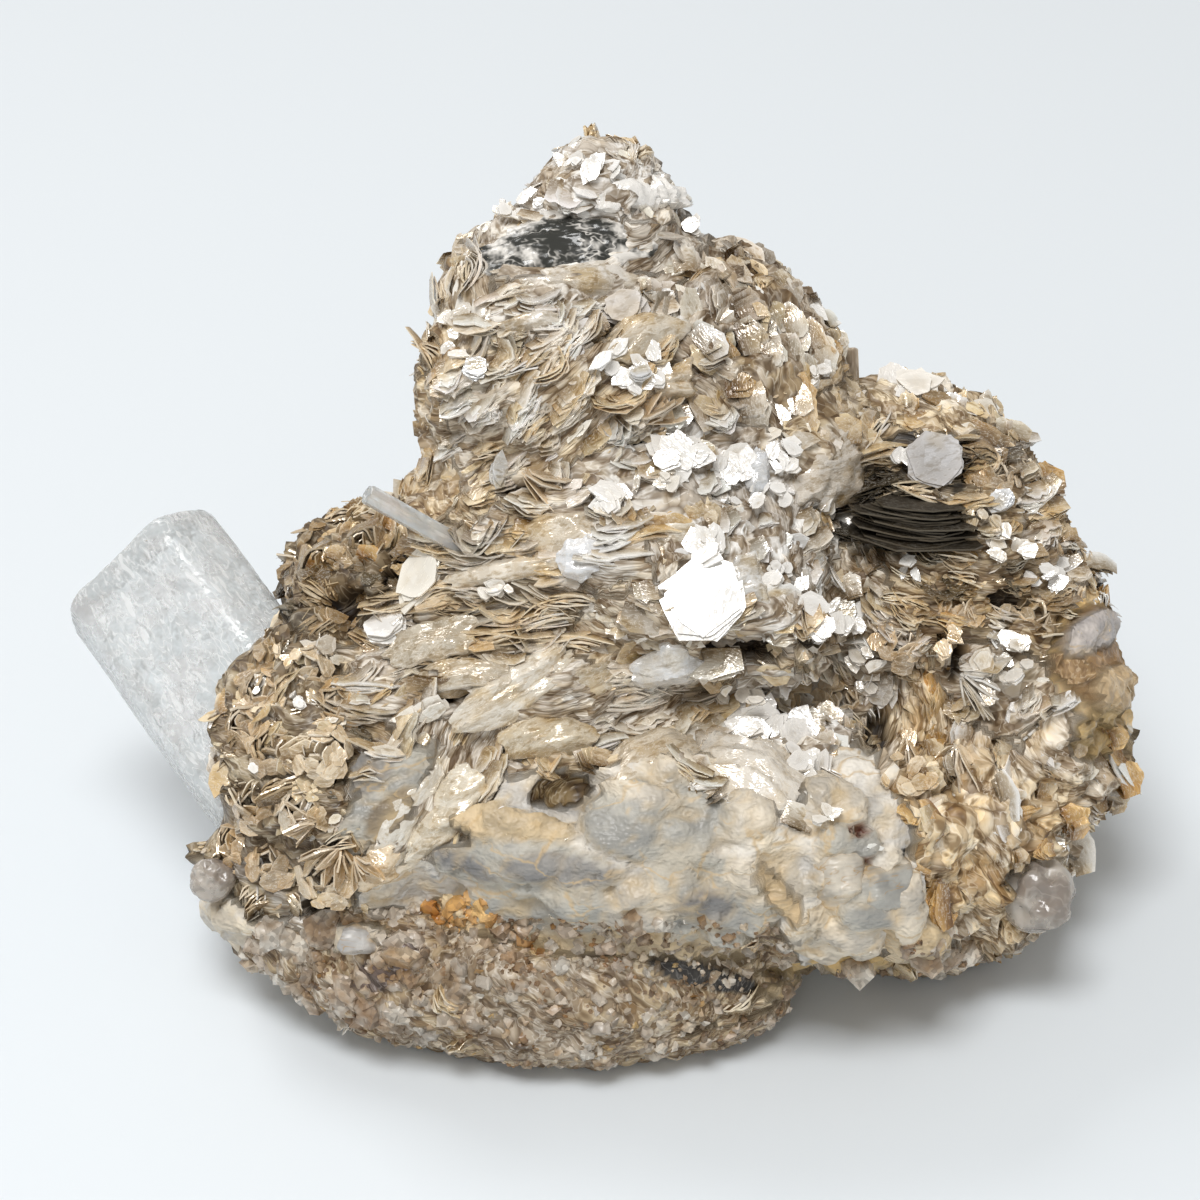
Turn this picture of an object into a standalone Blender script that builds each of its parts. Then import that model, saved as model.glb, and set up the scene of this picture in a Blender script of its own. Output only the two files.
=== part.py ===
"""Aquamarine crystal on a matrix of albite overgrown with muscovite mica: a cabinet specimen.

Metres, +Z up. The origin is on the trimmed flat base. The specimen is laid out on its
leaning front: "across" runs to the right (+X), "up" runs up the leaning front, and "out"
comes out of it towards the front and above. All lengths in the tables are millimetres.
"""

import math

import bmesh
import bpy
from mathutils import Matrix, Vector

MM = 0.001
LEAN = math.radians(35.0)  # how far the layout plane leans back from upright
MIDDLE_HEIGHT = 46.2  # height of the layout's zero point above the base, mm
GAP = 0.3  # clearance of a crystal in its socket, mm

# Matrix: the union of these lumps, then smoothed, hollowed, roughened and trimmed flat below.
VOXEL = 1.5
BLEND_PASSES = 6
COARSE_RELIEF = (9.0, 3.0)  # size and height of the coarse swells, mm
FINE_RELIEF = (4.0, 1.3)
MATRIX_KEEP = 0.15  # share of the remeshed triangles that is kept

# name: (across, up, out), (half width, half height, half depth), turn in the face in degrees
LUMPS = {
    "peak": ((0.5, 45, -7), (10.5, 12, 13), 0),
    "peak_left": ((-8, 36, -6), (12, 12, 13), 0),
    "smoky_ledge": ((-5, 36, 1), (13, 7, 9), -6),
    "shoulder": ((-3, 26, -4), (20, 14, 18), 0),
    "right_shoulder": ((14, 27, -9), (16, 17, 18), 25),
    "right_flank": ((22, 14, -8), (12, 16, 16), 0),
    "heart": ((3, 6, -8), (30, 20, 23), 0),
    "middle_ledge": ((8, 2, 5), (22, 9, 13), -24),
    "right_lobe": ((39, 4, -18), (20.5, 24.5, 22), 16),
    "right_edge": ((49.5, -12, -18), (17, 22, 20), 6),
    "left_ledge": ((-21, 1, -4), (16, 9, 13), 0),
    "lower_ledge": ((-12, -10, 2), (21, 8, 14), 0),
    "body": ((8, -28, -8), (42, 18, 22), 0),
    "rosette_mound": ((-32, -18, 1), (15, 17, 13), 0),
    "back_rosette": ((-28, 1, -15), (12, 11, 11), 0),
    "folded_slab": ((-25, -24, 9), (9, 13, 7), -32),
    "albite_slab": ((7, -29, 10), (30, 12, 10), -4),
    "lumpy_albite": ((29, -31, 5), (13, 14, 12), 0),
    "crust": ((-9, -44, -2), (33, 12, 14), -5),
    "crust_left": ((-36, -34, -5), (13.5, 11, 12), 0),
    "lower_right": ((40, -30, -11), (19, 16.5, 18), 0),
    "back": ((4, -10, -30), (42, 26, 22), 0),
    "foot": ((3, -34, -20), (37, 14, 21), 0),
}

# Recesses between the lumps: same columns.
HOLLOWS = {
    "under_bright_plate": ((17, -6, 17), (6, 3, 6), -10),
    "lobe_cleft": ((32, 12, 6), (5, 10, 9), -20),
    "albite_cavity": ((-2, -22, 19), (6, 3, 7), 0),
    "rosette_gap": ((-31, -8, 14), (7, 3, 6), 20),
}

# Aquamarine: a six-sided prism whose wide faces are longer than the others.
CRYSTAL_TIP = (-58.3, 4.4, -17.0)
CRYSTAL_INWARD = (0.59, -0.74, 0.32)
CRYSTAL_LENGTH = 42.0
CRYSTAL_SIDES = (16.5, 8.5, 8.5)  # wide, right and left face widths
CRYSTAL_TURN = 100.0
CRYSTAL_BEVEL = 1.0


# Mica crystals that stand proud, name: place, facing, turn in their plane in degrees,
# side lengths of the six-sided outline, thickness
MICA = {
    "bright_mica_plate": ((12.2, 0.3, 17.6), (-0.05, 0.30, 0.95), 76, (5.8, 4.6, 5.6), 1.6),
    "grey_mica_plate": ((3.0, 34.5, 9.6), (-0.15, 0.35, 0.92), 0, (4.6, 3.6, 3.8), 1.4),
    "smoky_mica_book": ((-4.2, 42.9, 6.2), (-0.05, 0.62, 0.78), 4, (12.5, 4.2, 4.2), 2.2),
    "fluted_mica_plate": ((6.0, 49.4, 2.6), (0.25, 0.25, 0.93), -10, (5.0, 3.6, 3.8), 1.8),
    "sail_mica_plate": ((-21.2, 3.0, 8.2), (-0.30, 0.30, 0.90), 60, (4.6, 3.0, 3.2), 1.5),
    "left_mica_book": ((-25.3, -3.6, 7.6), (-0.25, 0.45, 0.86), 0, (3.4, 3.0, 3.2), 2.6),
    "hexagonal_mica_plate": ((40.4, 17.0, 1.4), (-0.10, 0.25, 0.96), 0, (3.9, 3.9, 3.9), 1.8),
    "dark_mica_book": ((38.1, 9.6, 3.4), (0.05, 0.85, 0.50), 0, (7.5, 4.0, 4.0), 3.0),
    "lobe_top_mica_book": ((39.0, 26.4, -8.8), (-0.10, 0.50, 0.86), 0, (3.0, 2.6, 2.6), 1.8),
}
MICA_BEVEL = 0.2

# Small prisms, name: tip, inward direction, length, side length
PRISMS = {
    "beryl_prism": ((-27.2, 12.4, 14.6), (0.80, -0.45, -0.40), 17.0, 1.3),
    "tan_prism": ((31.0, 31.2, -10.0), (0.05, -0.98, -0.20), 11.0, 1.05),
}

# Glassy quartz lumps, name: place, radii
QUARTZ = {
    "right_quartz_lump": ((52.9, -35.6, 0.4), (4.6, 5.0, 4.6)),
    "left_quartz_lump": ((-46.6, -33.6, 3.2), (2.9, 2.5, 2.8)),
}


def world(across, up, out):
    """Place on the leaning layout, in millimetres, to world metres."""
    y = math.sin(LEAN) * up - math.cos(LEAN) * out
    z = MIDDLE_HEIGHT + math.cos(LEAN) * up + math.sin(LEAN) * out
    return Vector((across, y, z)) * MM


def world_direction(across, up, out):
    """Direction on the leaning layout to a world unit vector."""
    return (world(across, up, out) - world(0, 0, 0)).normalized()


def material(name, colour, roughness, metallic=0.0):
    """Principled material of one colour."""
    made = bpy.data.materials.new(name)
    made.use_nodes = True
    shader = made.node_tree.nodes["Principled BSDF"]
    shader.inputs["Base Color"].default_value = (*colour, 1.0)
    shader.inputs["Roughness"].default_value = roughness
    shader.inputs["Metallic"].default_value = metallic
    return made


def new_object(name, mesh_builder, finish=None):
    """Object with the mesh held by a bmesh, which is freed."""
    mesh = bpy.data.meshes.new(name)
    mesh_builder.to_mesh(mesh)
    mesh_builder.free()
    made = bpy.data.objects.new(name, mesh)
    bpy.context.scene.collection.objects.link(made)
    if finish:
        mesh.materials.append(finish)
    return made


def hide_cutter(cutter):
    """Marks an object as a cutter, which isn't part of the specimen."""
    cutter.hide_render = True
    cutter.display_type = "WIRE"


def cut(target, cutter):
    """Takes the cutter's shape out of the target."""
    boolean = target.modifiers.new("cut_" + cutter.name, "BOOLEAN")
    boolean.operation = "DIFFERENCE"
    boolean.solver = "EXACT"
    boolean.object = cutter


def relief(target, name, kind, size_and_height):
    """Roughens the target along its normals with a solid texture."""
    size, height = size_and_height
    texture = bpy.data.textures.new(name, kind)
    texture.noise_scale = size * MM
    displace = target.modifiers.new(name, "DISPLACE")
    displace.texture = texture
    displace.texture_coords = "LOCAL"
    displace.strength = height * MM
    displace.mid_level = 0.5


def ellipsoids(name, table, subdivisions):
    """Object that holds one ellipsoid for each row of a table of lumps."""
    builder = bmesh.new()
    for place, radii, turn in table.values():
        shape = Matrix.LocRotScale(None, None, Vector(radii) * MM)
        in_face = Matrix.Rotation(math.radians(turn), 4, "Z")
        where = Matrix.Translation(world(*place)) @ face_matrix() @ in_face @ shape
        bmesh.ops.create_icosphere(builder, subdivisions=subdivisions, radius=1.0, matrix=where)
    return new_object(name, builder)


def build_matrix(finish):
    """Rock mass: ellipsoid lumps blended by a voxel remesh, hollowed, then roughened."""
    rock = ellipsoids("matrix", LUMPS, 4)
    rock.data.materials.append(finish)
    remesh = rock.modifiers.new("blend", "REMESH")
    remesh.mode = "VOXEL"
    remesh.voxel_size = VOXEL * MM
    smooth = rock.modifiers.new("soften", "SMOOTH")
    smooth.factor = 0.5
    smooth.iterations = BLEND_PASSES
    hollows = ellipsoids("hollows", HOLLOWS, 3)
    hide_cutter(hollows)
    cut(rock, hollows)
    even = rock.modifiers.new("even", "REMESH")
    even.mode = "VOXEL"
    even.voxel_size = VOXEL * MM
    relief(rock, "coarse_relief", "CLOUDS", COARSE_RELIEF)
    relief(rock, "fine_relief", "VORONOI", FINE_RELIEF)
    thin = rock.modifiers.new("thin", "DECIMATE")
    thin.ratio = MATRIX_KEEP
    return rock


def face_matrix():
    """Rotation whose columns are the layout's across, up and out directions."""
    axes = [world_direction(*axis) for axis in ((1, 0, 0), (0, 1, 0), (0, 0, 1))]
    return Matrix(axes).transposed().to_4x4()


def trim_base(rock):
    """Saws the rock off flat at the base plane."""
    builder = bmesh.new()
    size = 300 * MM
    where = Matrix.Translation((0, 0, -size / 2)) @ Matrix.Scale(size, 4)
    bmesh.ops.create_cube(builder, size=1.0, matrix=where)
    saw = new_object("saw", builder)
    hide_cutter(saw)
    cut(rock, saw)


def hexagon(sides):
    """Corners of a hexagon with equal corner angles and opposite sides alike, centred."""
    corners = [Vector((0, 0))]
    for step in range(5):
        heading = math.radians(60 * step)
        run = sides[step % 3]
        corners.append(corners[-1] + run * Vector((math.cos(heading), math.sin(heading))))
    centre = sum(corners, Vector((0, 0))) / 6
    return [corner - centre for corner in corners]


def prism_mesh(outline, length, grow=0.0):
    """Prism from z=0 down to z=-length, in metres, with its outline grown outwards."""
    builder = bmesh.new()
    count = len(outline)
    rings = []
    for depth in (grow, -length - grow):
        ring = []
        for corner in outline:
            spread = 1.0 + grow / (corner.length * math.cos(math.radians(30)))
            ring.append(builder.verts.new((corner.x * spread * MM, corner.y * spread * MM, depth * MM)))
        rings.append(ring)
    builder.faces.new(rings[0])
    builder.faces.new(list(reversed(rings[1])))
    for k in range(count):
        nxt = (k + 1) % count
        builder.faces.new((rings[0][nxt], rings[0][k], rings[1][k], rings[1][nxt]))
    bmesh.ops.recalc_face_normals(builder, faces=builder.faces)
    return builder


def standing_on(place, facing, turn):
    """World matrix at a place: +Z along the facing direction, turned about it in degrees."""
    outward = world_direction(*facing)
    side = world_direction(0, 1, 0).cross(outward).normalized()
    rise = outward.cross(side)
    axes = Matrix((side, rise, outward)).transposed().to_4x4()
    return Matrix.Translation(world(*place)) @ axes @ Matrix.Rotation(math.radians(turn), 4, "Z")


def seat(rock, name, shape, shape_with_gap, where, finish):
    """Adds a crystal at its place and cuts its socket out of the rock."""
    crystal = new_object(name, shape, finish)
    crystal.matrix_world = where
    socket = new_object(name + "_socket", shape_with_gap)
    socket.matrix_world = where
    hide_cutter(socket)
    cut(rock, socket)
    return crystal


def worn_edges(crystal, width):
    """Takes the sharp edges off a crystal."""
    bevel = crystal.modifiers.new("worn_edges", "BEVEL")
    bevel.width = width * MM
    bevel.segments = 1


def build_aquamarine(rock, finish):
    """The large prism: its wide faces turned to the front, its tip up and to the left."""
    inward = Vector(CRYSTAL_INWARD)
    outline = hexagon(CRYSTAL_SIDES)
    where = standing_on(CRYSTAL_TIP, -inward, CRYSTAL_TURN)
    shape = prism_mesh(outline, CRYSTAL_LENGTH)
    shape_with_gap = prism_mesh(outline, CRYSTAL_LENGTH, GAP)
    crystal = seat(rock, "aquamarine", shape, shape_with_gap, where, finish)
    worn_edges(crystal, CRYSTAL_BEVEL)


def build_mica(rock, finish):
    """Flat six-sided books and plates of mica, each sunk partly into the rock."""
    for name, (place, facing, turn, sides, thickness) in MICA.items():
        outline = hexagon(sides)
        where = standing_on(place, facing, turn) @ Matrix.Translation((0, 0, thickness * MM / 2))
        shape = prism_mesh(outline, thickness)
        shape_with_gap = prism_mesh(outline, thickness, GAP)
        book = seat(rock, name, shape, shape_with_gap, where, finish)
        worn_edges(book, MICA_BEVEL)


def build_prisms(rock, finishes):
    """Slender six-sided prisms."""
    for (name, (tip, inward, length, side)), finish in zip(PRISMS.items(), finishes, strict=True):
        outline = hexagon((side, side, side))
        where = standing_on(tip, -Vector(inward), 0)
        shape = prism_mesh(outline, length)
        seat(rock, name, shape, prism_mesh(outline, length, GAP), where, finish)


def lump_mesh(radii, grow=0.0):
    """Ellipsoid with its radii grown, in metres."""
    builder = bmesh.new()
    grown = Matrix.LocRotScale(None, None, (Vector(radii) + Vector((grow, grow, grow))) * MM)
    bmesh.ops.create_icosphere(builder, subdivisions=2, radius=1.0, matrix=grown)
    return builder


def build_quartz(rock, finish):
    """Rounded quartz grains that bulge out of the rock."""
    for name, (place, radii) in QUARTZ.items():
        where = Matrix.Translation(world(*place)) @ face_matrix()
        seat(rock, name, lump_mesh(radii), lump_mesh(radii, GAP), where, finish)


def main():
    """Builds the specimen in an emptied scene."""
    for old in list(bpy.data.objects):
        bpy.data.objects.remove(old, do_unlink=True)
    rock = build_matrix(material("matrix", (0.62, 0.55, 0.46), 0.6))
    trim_base(rock)
    build_aquamarine(rock, material("aquamarine", (0.80, 0.90, 0.92), 0.08))
    build_mica(rock, material("mica", (0.78, 0.74, 0.68), 0.3, 0.2))
    clear_beryl = material("beryl", (0.88, 0.90, 0.92), 0.1)
    tan_beryl = material("tan_prism", (0.66, 0.56, 0.46), 0.3)
    build_prisms(rock, (clear_beryl, tan_beryl))
    build_quartz(rock, material("quartz", (0.62, 0.62, 0.63), 0.15))


main()
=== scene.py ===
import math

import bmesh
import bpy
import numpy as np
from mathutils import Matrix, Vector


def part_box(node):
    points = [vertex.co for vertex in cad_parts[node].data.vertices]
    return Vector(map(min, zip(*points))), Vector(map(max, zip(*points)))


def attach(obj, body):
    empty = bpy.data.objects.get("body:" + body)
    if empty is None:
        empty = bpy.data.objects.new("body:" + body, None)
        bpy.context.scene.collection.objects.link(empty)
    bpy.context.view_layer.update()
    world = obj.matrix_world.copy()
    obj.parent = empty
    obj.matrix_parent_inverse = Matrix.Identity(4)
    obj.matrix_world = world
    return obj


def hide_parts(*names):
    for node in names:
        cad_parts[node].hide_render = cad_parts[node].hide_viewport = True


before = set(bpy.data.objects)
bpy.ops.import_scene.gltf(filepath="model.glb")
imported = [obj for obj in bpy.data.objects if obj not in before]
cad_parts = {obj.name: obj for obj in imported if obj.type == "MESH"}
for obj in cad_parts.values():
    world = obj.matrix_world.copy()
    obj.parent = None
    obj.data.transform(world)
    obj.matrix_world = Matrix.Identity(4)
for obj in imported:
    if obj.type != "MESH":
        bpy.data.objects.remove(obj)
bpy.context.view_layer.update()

# Aquamarine on albite and mica, the looks.
#
# Lengths are millimetres until a mesh is made. Places on the specimen are given either as
# world places or on its leaning front: "across" to the right, "up" along the leaning front
# and "out" of it. The camera looks straight at that front, so a place there can also be
# named by its position in the square front view, in view units of 1200 to a side.

MM = 0.001
LEAN = math.radians(35.0)
MIDDLE = np.array([0.0, 0.0, 46.2])  # the point that the camera looks at
VIEW_SIDE = 1200.0
UNIT = 0.121  # millimetres to a view unit at the middle's distance
LENS = 100.0
SENSOR = 36.0
DISTANCE = VIEW_SIDE * UNIT * LENS / SENSOR

ACROSS = np.array([1.0, 0.0, 0.0])
UP = np.array([0.0, math.sin(LEAN), math.cos(LEAN)])
OUT = np.array([0.0, -math.cos(LEAN), math.sin(LEAN)])
LAYOUT = np.array([ACROSS, UP, OUT])

ROCK_VOXEL = 0.80  # size of the rock's faces, mm
BASE_DEPTH = 0.6  # rock points below this height stay on the flat base
ROCK_LOWEST = 0.2  # and the others stay over this height
FLOOR_GAP = 0.15  # lowest point of a loose piece over the floor
FRONT_LIMIT = -0.15  # a place is on the front while its normal's part along OUT is over this
BRIGHTEST = 0.95  # strongest part that a tint may have

# shares of a style's books, sheaves and grains that the back gets
BACK_COVER, BACK_SHEAVES, BACK_GRAINS = 0.5, 0.35, 0.8
# shares of a style's cover that are books and small shards, and a shard's size to a book's
BOOK_SHARE, SHARD_SHARE, SHARD_SIZE = 0.82, 1.05, 0.45
LARGE_PLATE, SMALL_PLATE = 2.1, 1.2  # half lengths, mm, past which a plate has more or fewer corners
UPPER_PART = 45.0  # place along UP, mm, that parts the upper sheaves from the lower

MICA_IOR, BERYL_IOR, QUARTZ_IOR = 1.6, 1.577, 1.544
FLOOR_COLOUR, FLOOR_REACH = (0.772, 0.822, 0.865), 3.0
SKY_COLOUR, SKY_STRENGTH = (1.0, 0.965, 0.915, 1.0), 0.43


# ---------------------------------------------------------------- layout and front view

def to_layout(points):
    """World millimetres to across, up and out: the place less the middle, turned."""
    return (points - MIDDLE) @ LAYOUT.T


def from_layout(places):
    """Across, up and out to world millimetres."""
    return np.asarray(places) @ LAYOUT + MIDDLE


def to_view(points):
    """World millimetres to view x, view y and out.

    Across and up grow by distance / (distance - out), as in any perspective view."""
    place = to_layout(points)
    grow = DISTANCE / (DISTANCE - place[:, 2]) / UNIT
    x = VIEW_SIDE / 2 + place[:, 0] * grow
    y = VIEW_SIDE / 2 - place[:, 1] * grow
    return x, y, place[:, 2]


def from_view(x, y, out):
    """View x and y at a given out, to world millimetres."""
    shrink = UNIT * (DISTANCE - out) / DISTANCE
    across = (np.asarray(x) - VIEW_SIDE / 2) * shrink
    up = (VIEW_SIDE / 2 - np.asarray(y)) * shrink
    return from_layout(np.stack([across, up, out + 0 * across], axis=-1))


def unit(vectors):
    """Vectors scaled to length one."""
    vectors = np.asarray(vectors, float)
    length = np.linalg.norm(vectors, axis=-1, keepdims=True)
    return vectors / np.maximum(length, 1e-9)


def heading(angle, first, second):
    """Direction at an angle from the first of two directions towards the second."""
    return np.cos(angle)[..., None] * first + np.sin(angle)[..., None] * second


def smoothstep(low, high, value):
    """0 below low, 1 above high, and the usual smooth cubic between."""
    t = np.clip((value - low) / (high - low), 0.0, 1.0)
    return t * t * (3.0 - 2.0 * t)


def ellipse(x, y, cx, cy, rx, ry, turn):
    """1 at the middle of a turned ellipse in the view, 0 on its edge, negative outside:
    one less the squared distance as a share of the edge's."""
    c, s = math.cos(math.radians(turn)), math.sin(math.radians(turn))
    dx, dy = x - cx, cy - y
    return 1.0 - ((dx * c + dy * s) / rx) ** 2 - ((dy * c - dx * s) / ry) ** 2


def held(tint):
    """Colours scaled back evenly where their strongest part would be over the brightest."""
    strongest = np.maximum(tint.max(-1, keepdims=True), 0.01)
    return np.maximum(tint, 0.0) * np.minimum(1.0, BRIGHTEST / strongest)


def above_floor(points):
    """The places, lifted where they would come too close to the floor."""
    points[..., 2] = np.maximum(points[..., 2], FLOOR_GAP)
    return points


# ---------------------------------------------------------------- noise

def lattice_value(i, j, k, seed):
    """Repeatable value from 0 to 1 for each whole-number lattice point, by integer mixing."""
    h = (i * 374761393 + j * 668265263 + k * 2147483647 + seed * 974634777) & 0xFFFFFFFF
    h = ((h ^ (h >> 13)) * 1274126177) & 0xFFFFFFFF
    h = ((h ^ (h >> 16)) * 2246822519) & 0xFFFFFFFF
    return ((h ^ (h >> 15)) & 0xFFFFFF) / float(0xFFFFFF)


def soft_noise(points, size, seed=0):
    """Value noise from -1 to 1: lattice values blended by the cubic weights of the eight
    lattice points round each place."""
    p = points / size
    cell = np.floor(p).astype(np.int64)
    f = p - cell
    f = f * f * (3.0 - 2.0 * f)
    total = np.zeros(len(points))
    for di in (0, 1):
        for dj in (0, 1):
            for dk in (0, 1):
                weight = np.abs(1 - di - f[:, 0]) * np.abs(1 - dj - f[:, 1]) * np.abs(1 - dk - f[:, 2])
                total += weight * lattice_value(cell[:, 0] + di, cell[:, 1] + dj, cell[:, 2] + dk, seed)
    return total * 2.0 - 1.0


def cloud(points, size, octaves=3, seed=0):
    """Sum of soft noises, each half as large and half as strong as the last."""
    total = np.zeros(len(points))
    for n in range(octaves):
        total += soft_noise(points, size / 2 ** n, seed + 17 * n) / 2 ** n
    return total / (2.0 - 2.0 ** (1 - octaves))


def grains(points, size, seed=0):
    """Distance to the nearest of the scattered grain centres, one centre in each lattice
    cell, and that grain's own value from 0 to 1."""
    p = points / size
    cell = np.floor(p).astype(np.int64)
    best = np.full(len(points), 9.0)
    own = np.zeros(len(points))
    for di in (-1, 0, 1):
        for dj in (-1, 0, 1):
            for dk in (-1, 0, 1):
                i, j, k = cell[:, 0] + di, cell[:, 1] + dj, cell[:, 2] + dk
                centre = np.stack([lattice_value(i, j, k, seed + s) for s in (1, 2, 3)], axis=1)
                d = np.linalg.norm(np.stack([i, j, k], axis=1) + centre - p, axis=1)
                nearer = d < best
                best = np.where(nearer, d, best)
                own = np.where(nearer, lattice_value(i, j, k, seed + 4), own)
    return best, own


# ---------------------------------------------------------------- meshes

def shown_object(name, data):
    """New object at the origin that shows the given data."""
    made = bpy.data.objects.new(name, data)
    bpy.context.scene.collection.objects.link(made)
    return made


def finish_mesh(mesh, finish):
    """Gives a mesh its only material and smooth faces."""
    mesh.materials.clear()
    mesh.materials.append(finish)
    mesh.polygons.foreach_set("use_smooth", np.ones(len(mesh.polygons), bool))


def make_piece(name, points, faces, finish, replaces=(), sharp=35.0):
    """Object at the origin from points in millimetres and faces, riding on the root body."""
    mesh = bpy.data.meshes.new(name)
    mesh.from_pydata((points * MM).tolist(), [], faces if isinstance(faces, list) else faces.tolist())
    mesh.validate()
    finish_mesh(mesh, finish)
    mesh.set_sharp_from_angle(angle=math.radians(sharp))
    piece = shown_object(name, mesh)
    settle(piece, replaces)
    return piece


def settle(piece, replaces=()):
    """Gives a finished piece its body, and hides the nodes that it stands for."""
    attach(piece, "root")
    if replaces:
        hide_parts(*replaces)


def face_outward(piece):
    """Turns the faces of a closed piece outwards."""
    builder = bmesh.new()
    builder.from_mesh(piece.data)
    bmesh.ops.recalc_face_normals(builder, faces=builder.faces)
    builder.to_mesh(piece.data)
    builder.free()


def listed(parts):
    """One list of faces from several arrays of faces."""
    return [face for part in parts for face in part.tolist()]


def loop_of(around):
    """Numbers of the points of one ring, and those of the points after them."""
    here = np.arange(around)
    return here, np.roll(here, -1)


def ring_faces(rings, around):
    """Faces of four corners between the rings of a tube whose points go ring by ring."""
    here, after = loop_of(around)
    band = np.stack([here, after, after + around, here + around], axis=1)
    return np.concatenate([band + ring * around for ring in range(rings - 1)])


def end_faces(rings, around):
    """Faces of three corners that close a tube: its first ring runs to the first of the two
    points that come after the rings, and its last ring to the second."""
    here, after = loop_of(around)
    last = (rings - 1) * around
    return np.vstack([np.stack([after, here, 0 * here + last + around], axis=1),
                      np.stack([last + here, last + after, 0 * here + last + around + 1], axis=1)])


def grid_faces(rows, columns):
    """Faces of four corners over a grid of points that go row by row."""
    i, j = np.meshgrid(np.arange(rows - 1), np.arange(columns - 1), indexing="ij")
    a = (i * columns + j).ravel()
    return np.stack([a, a + columns, a + columns + 1, a + 1], axis=1)


def joined(parts):
    """One set of plates from several sets."""
    return {key: np.concatenate([part[key] for part in parts]) for key in parts[0]}


def put_attribute(piece, name, kind, values, domain="POINT"):
    """Stores an array on the piece's mesh."""
    made = piece.data.attributes.new(name, kind, domain)
    key = {"FLOAT": "value", "FLOAT_COLOR": "color", "FLOAT_VECTOR": "vector"}[kind]
    made.data.foreach_set(key, np.ascontiguousarray(values, np.float32).ravel())


def put_colours(piece, name, colours):
    """Stores a colour at each point of the piece's mesh."""
    put_attribute(piece, name, "FLOAT_COLOR", np.hstack([colours, np.ones((len(colours), 1))]))


def put_sheet(piece, places):
    """Stores each point's place in its own flat sheet, which the finishes draw on."""
    put_attribute(piece, "sheet", "FLOAT_VECTOR", places)


def put_rim(piece, parts, marks):
    """Marks each face, group by group: 1 on a rim, 0 elsewhere."""
    values = np.concatenate([np.full(len(part), float(mark)) for part, mark in zip(parts, marks)])
    put_attribute(piece, "rim", "FLOAT", values, "FACE")


def mesh_arrays(mesh):
    """Points in millimetres and point normals of a mesh."""
    points = np.empty(len(mesh.vertices) * 3)
    mesh.vertices.foreach_get("co", points)
    normals = np.empty(len(mesh.vertices) * 3)
    mesh.vertices.foreach_get("normal", normals)
    return points.reshape(-1, 3) / MM, normals.reshape(-1, 3)


def triangles_of(mesh):
    """Corner numbers of the mesh's triangles."""
    mesh.calc_loop_triangles()
    corners = np.empty(len(mesh.loop_triangles) * 3, np.int32)
    mesh.loop_triangles.foreach_get("vertices", corners)
    return corners.reshape(-1, 3)


# ---------------------------------------------------------------- colours and zones

COLOURS = {
    "white": (0.95, 0.94, 0.91),
    "pearl": (0.93, 0.88, 0.79),
    "silver": (0.82, 0.766, 0.678),
    "grey": (0.60, 0.552, 0.480),
    "cream": (0.93, 0.79, 0.56),
    "tan": (0.80, 0.665, 0.455),
    "honey": (0.87, 0.61, 0.28),
    "brown": (0.44, 0.325, 0.185),
    "slate": (0.16, 0.13, 0.085),
    "black": (0.050, 0.038, 0.022),
}


def style(facing, pull, swirl, spread, length, aspect, layers, cover, colours, ground, relief,
          flow=(1.0, 0.0, 0.0), bend=0.10, sheaves=1.0, grains=0.0):
    """One kind of surface.

    facing: common direction of the plates, in across, up and out. pull: how strongly they
    keep it. swirl: how strongly they follow the slow turning of a noise instead.
    spread: how much each differs. length: shortest and longest, mm. aspect: width to
    length. layers: most plates to a book. cover: books to a square centimetre. colours:
    shares of the named colours. ground: rock colour below. relief: rock roughness, mm.
    flow: the plates' long direction. sheaves and grains: bent stacks and small grains to a
    square centimetre."""
    shares = np.array([colours.get(name, 0.0) for name in COLOURS])
    return {
        "facing": np.array(facing, float), "pull": pull, "swirl": swirl, "spread": spread,
        "length": length, "aspect": aspect, "layers": layers, "cover": cover,
        "shares": np.cumsum(shares / shares.sum()), "ground": np.array(COLOURS[ground]),
        "relief": relief, "flow": np.array(flow, float), "bend": bend, "sheaves": sheaves,
        "grains": grains,
    }


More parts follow.
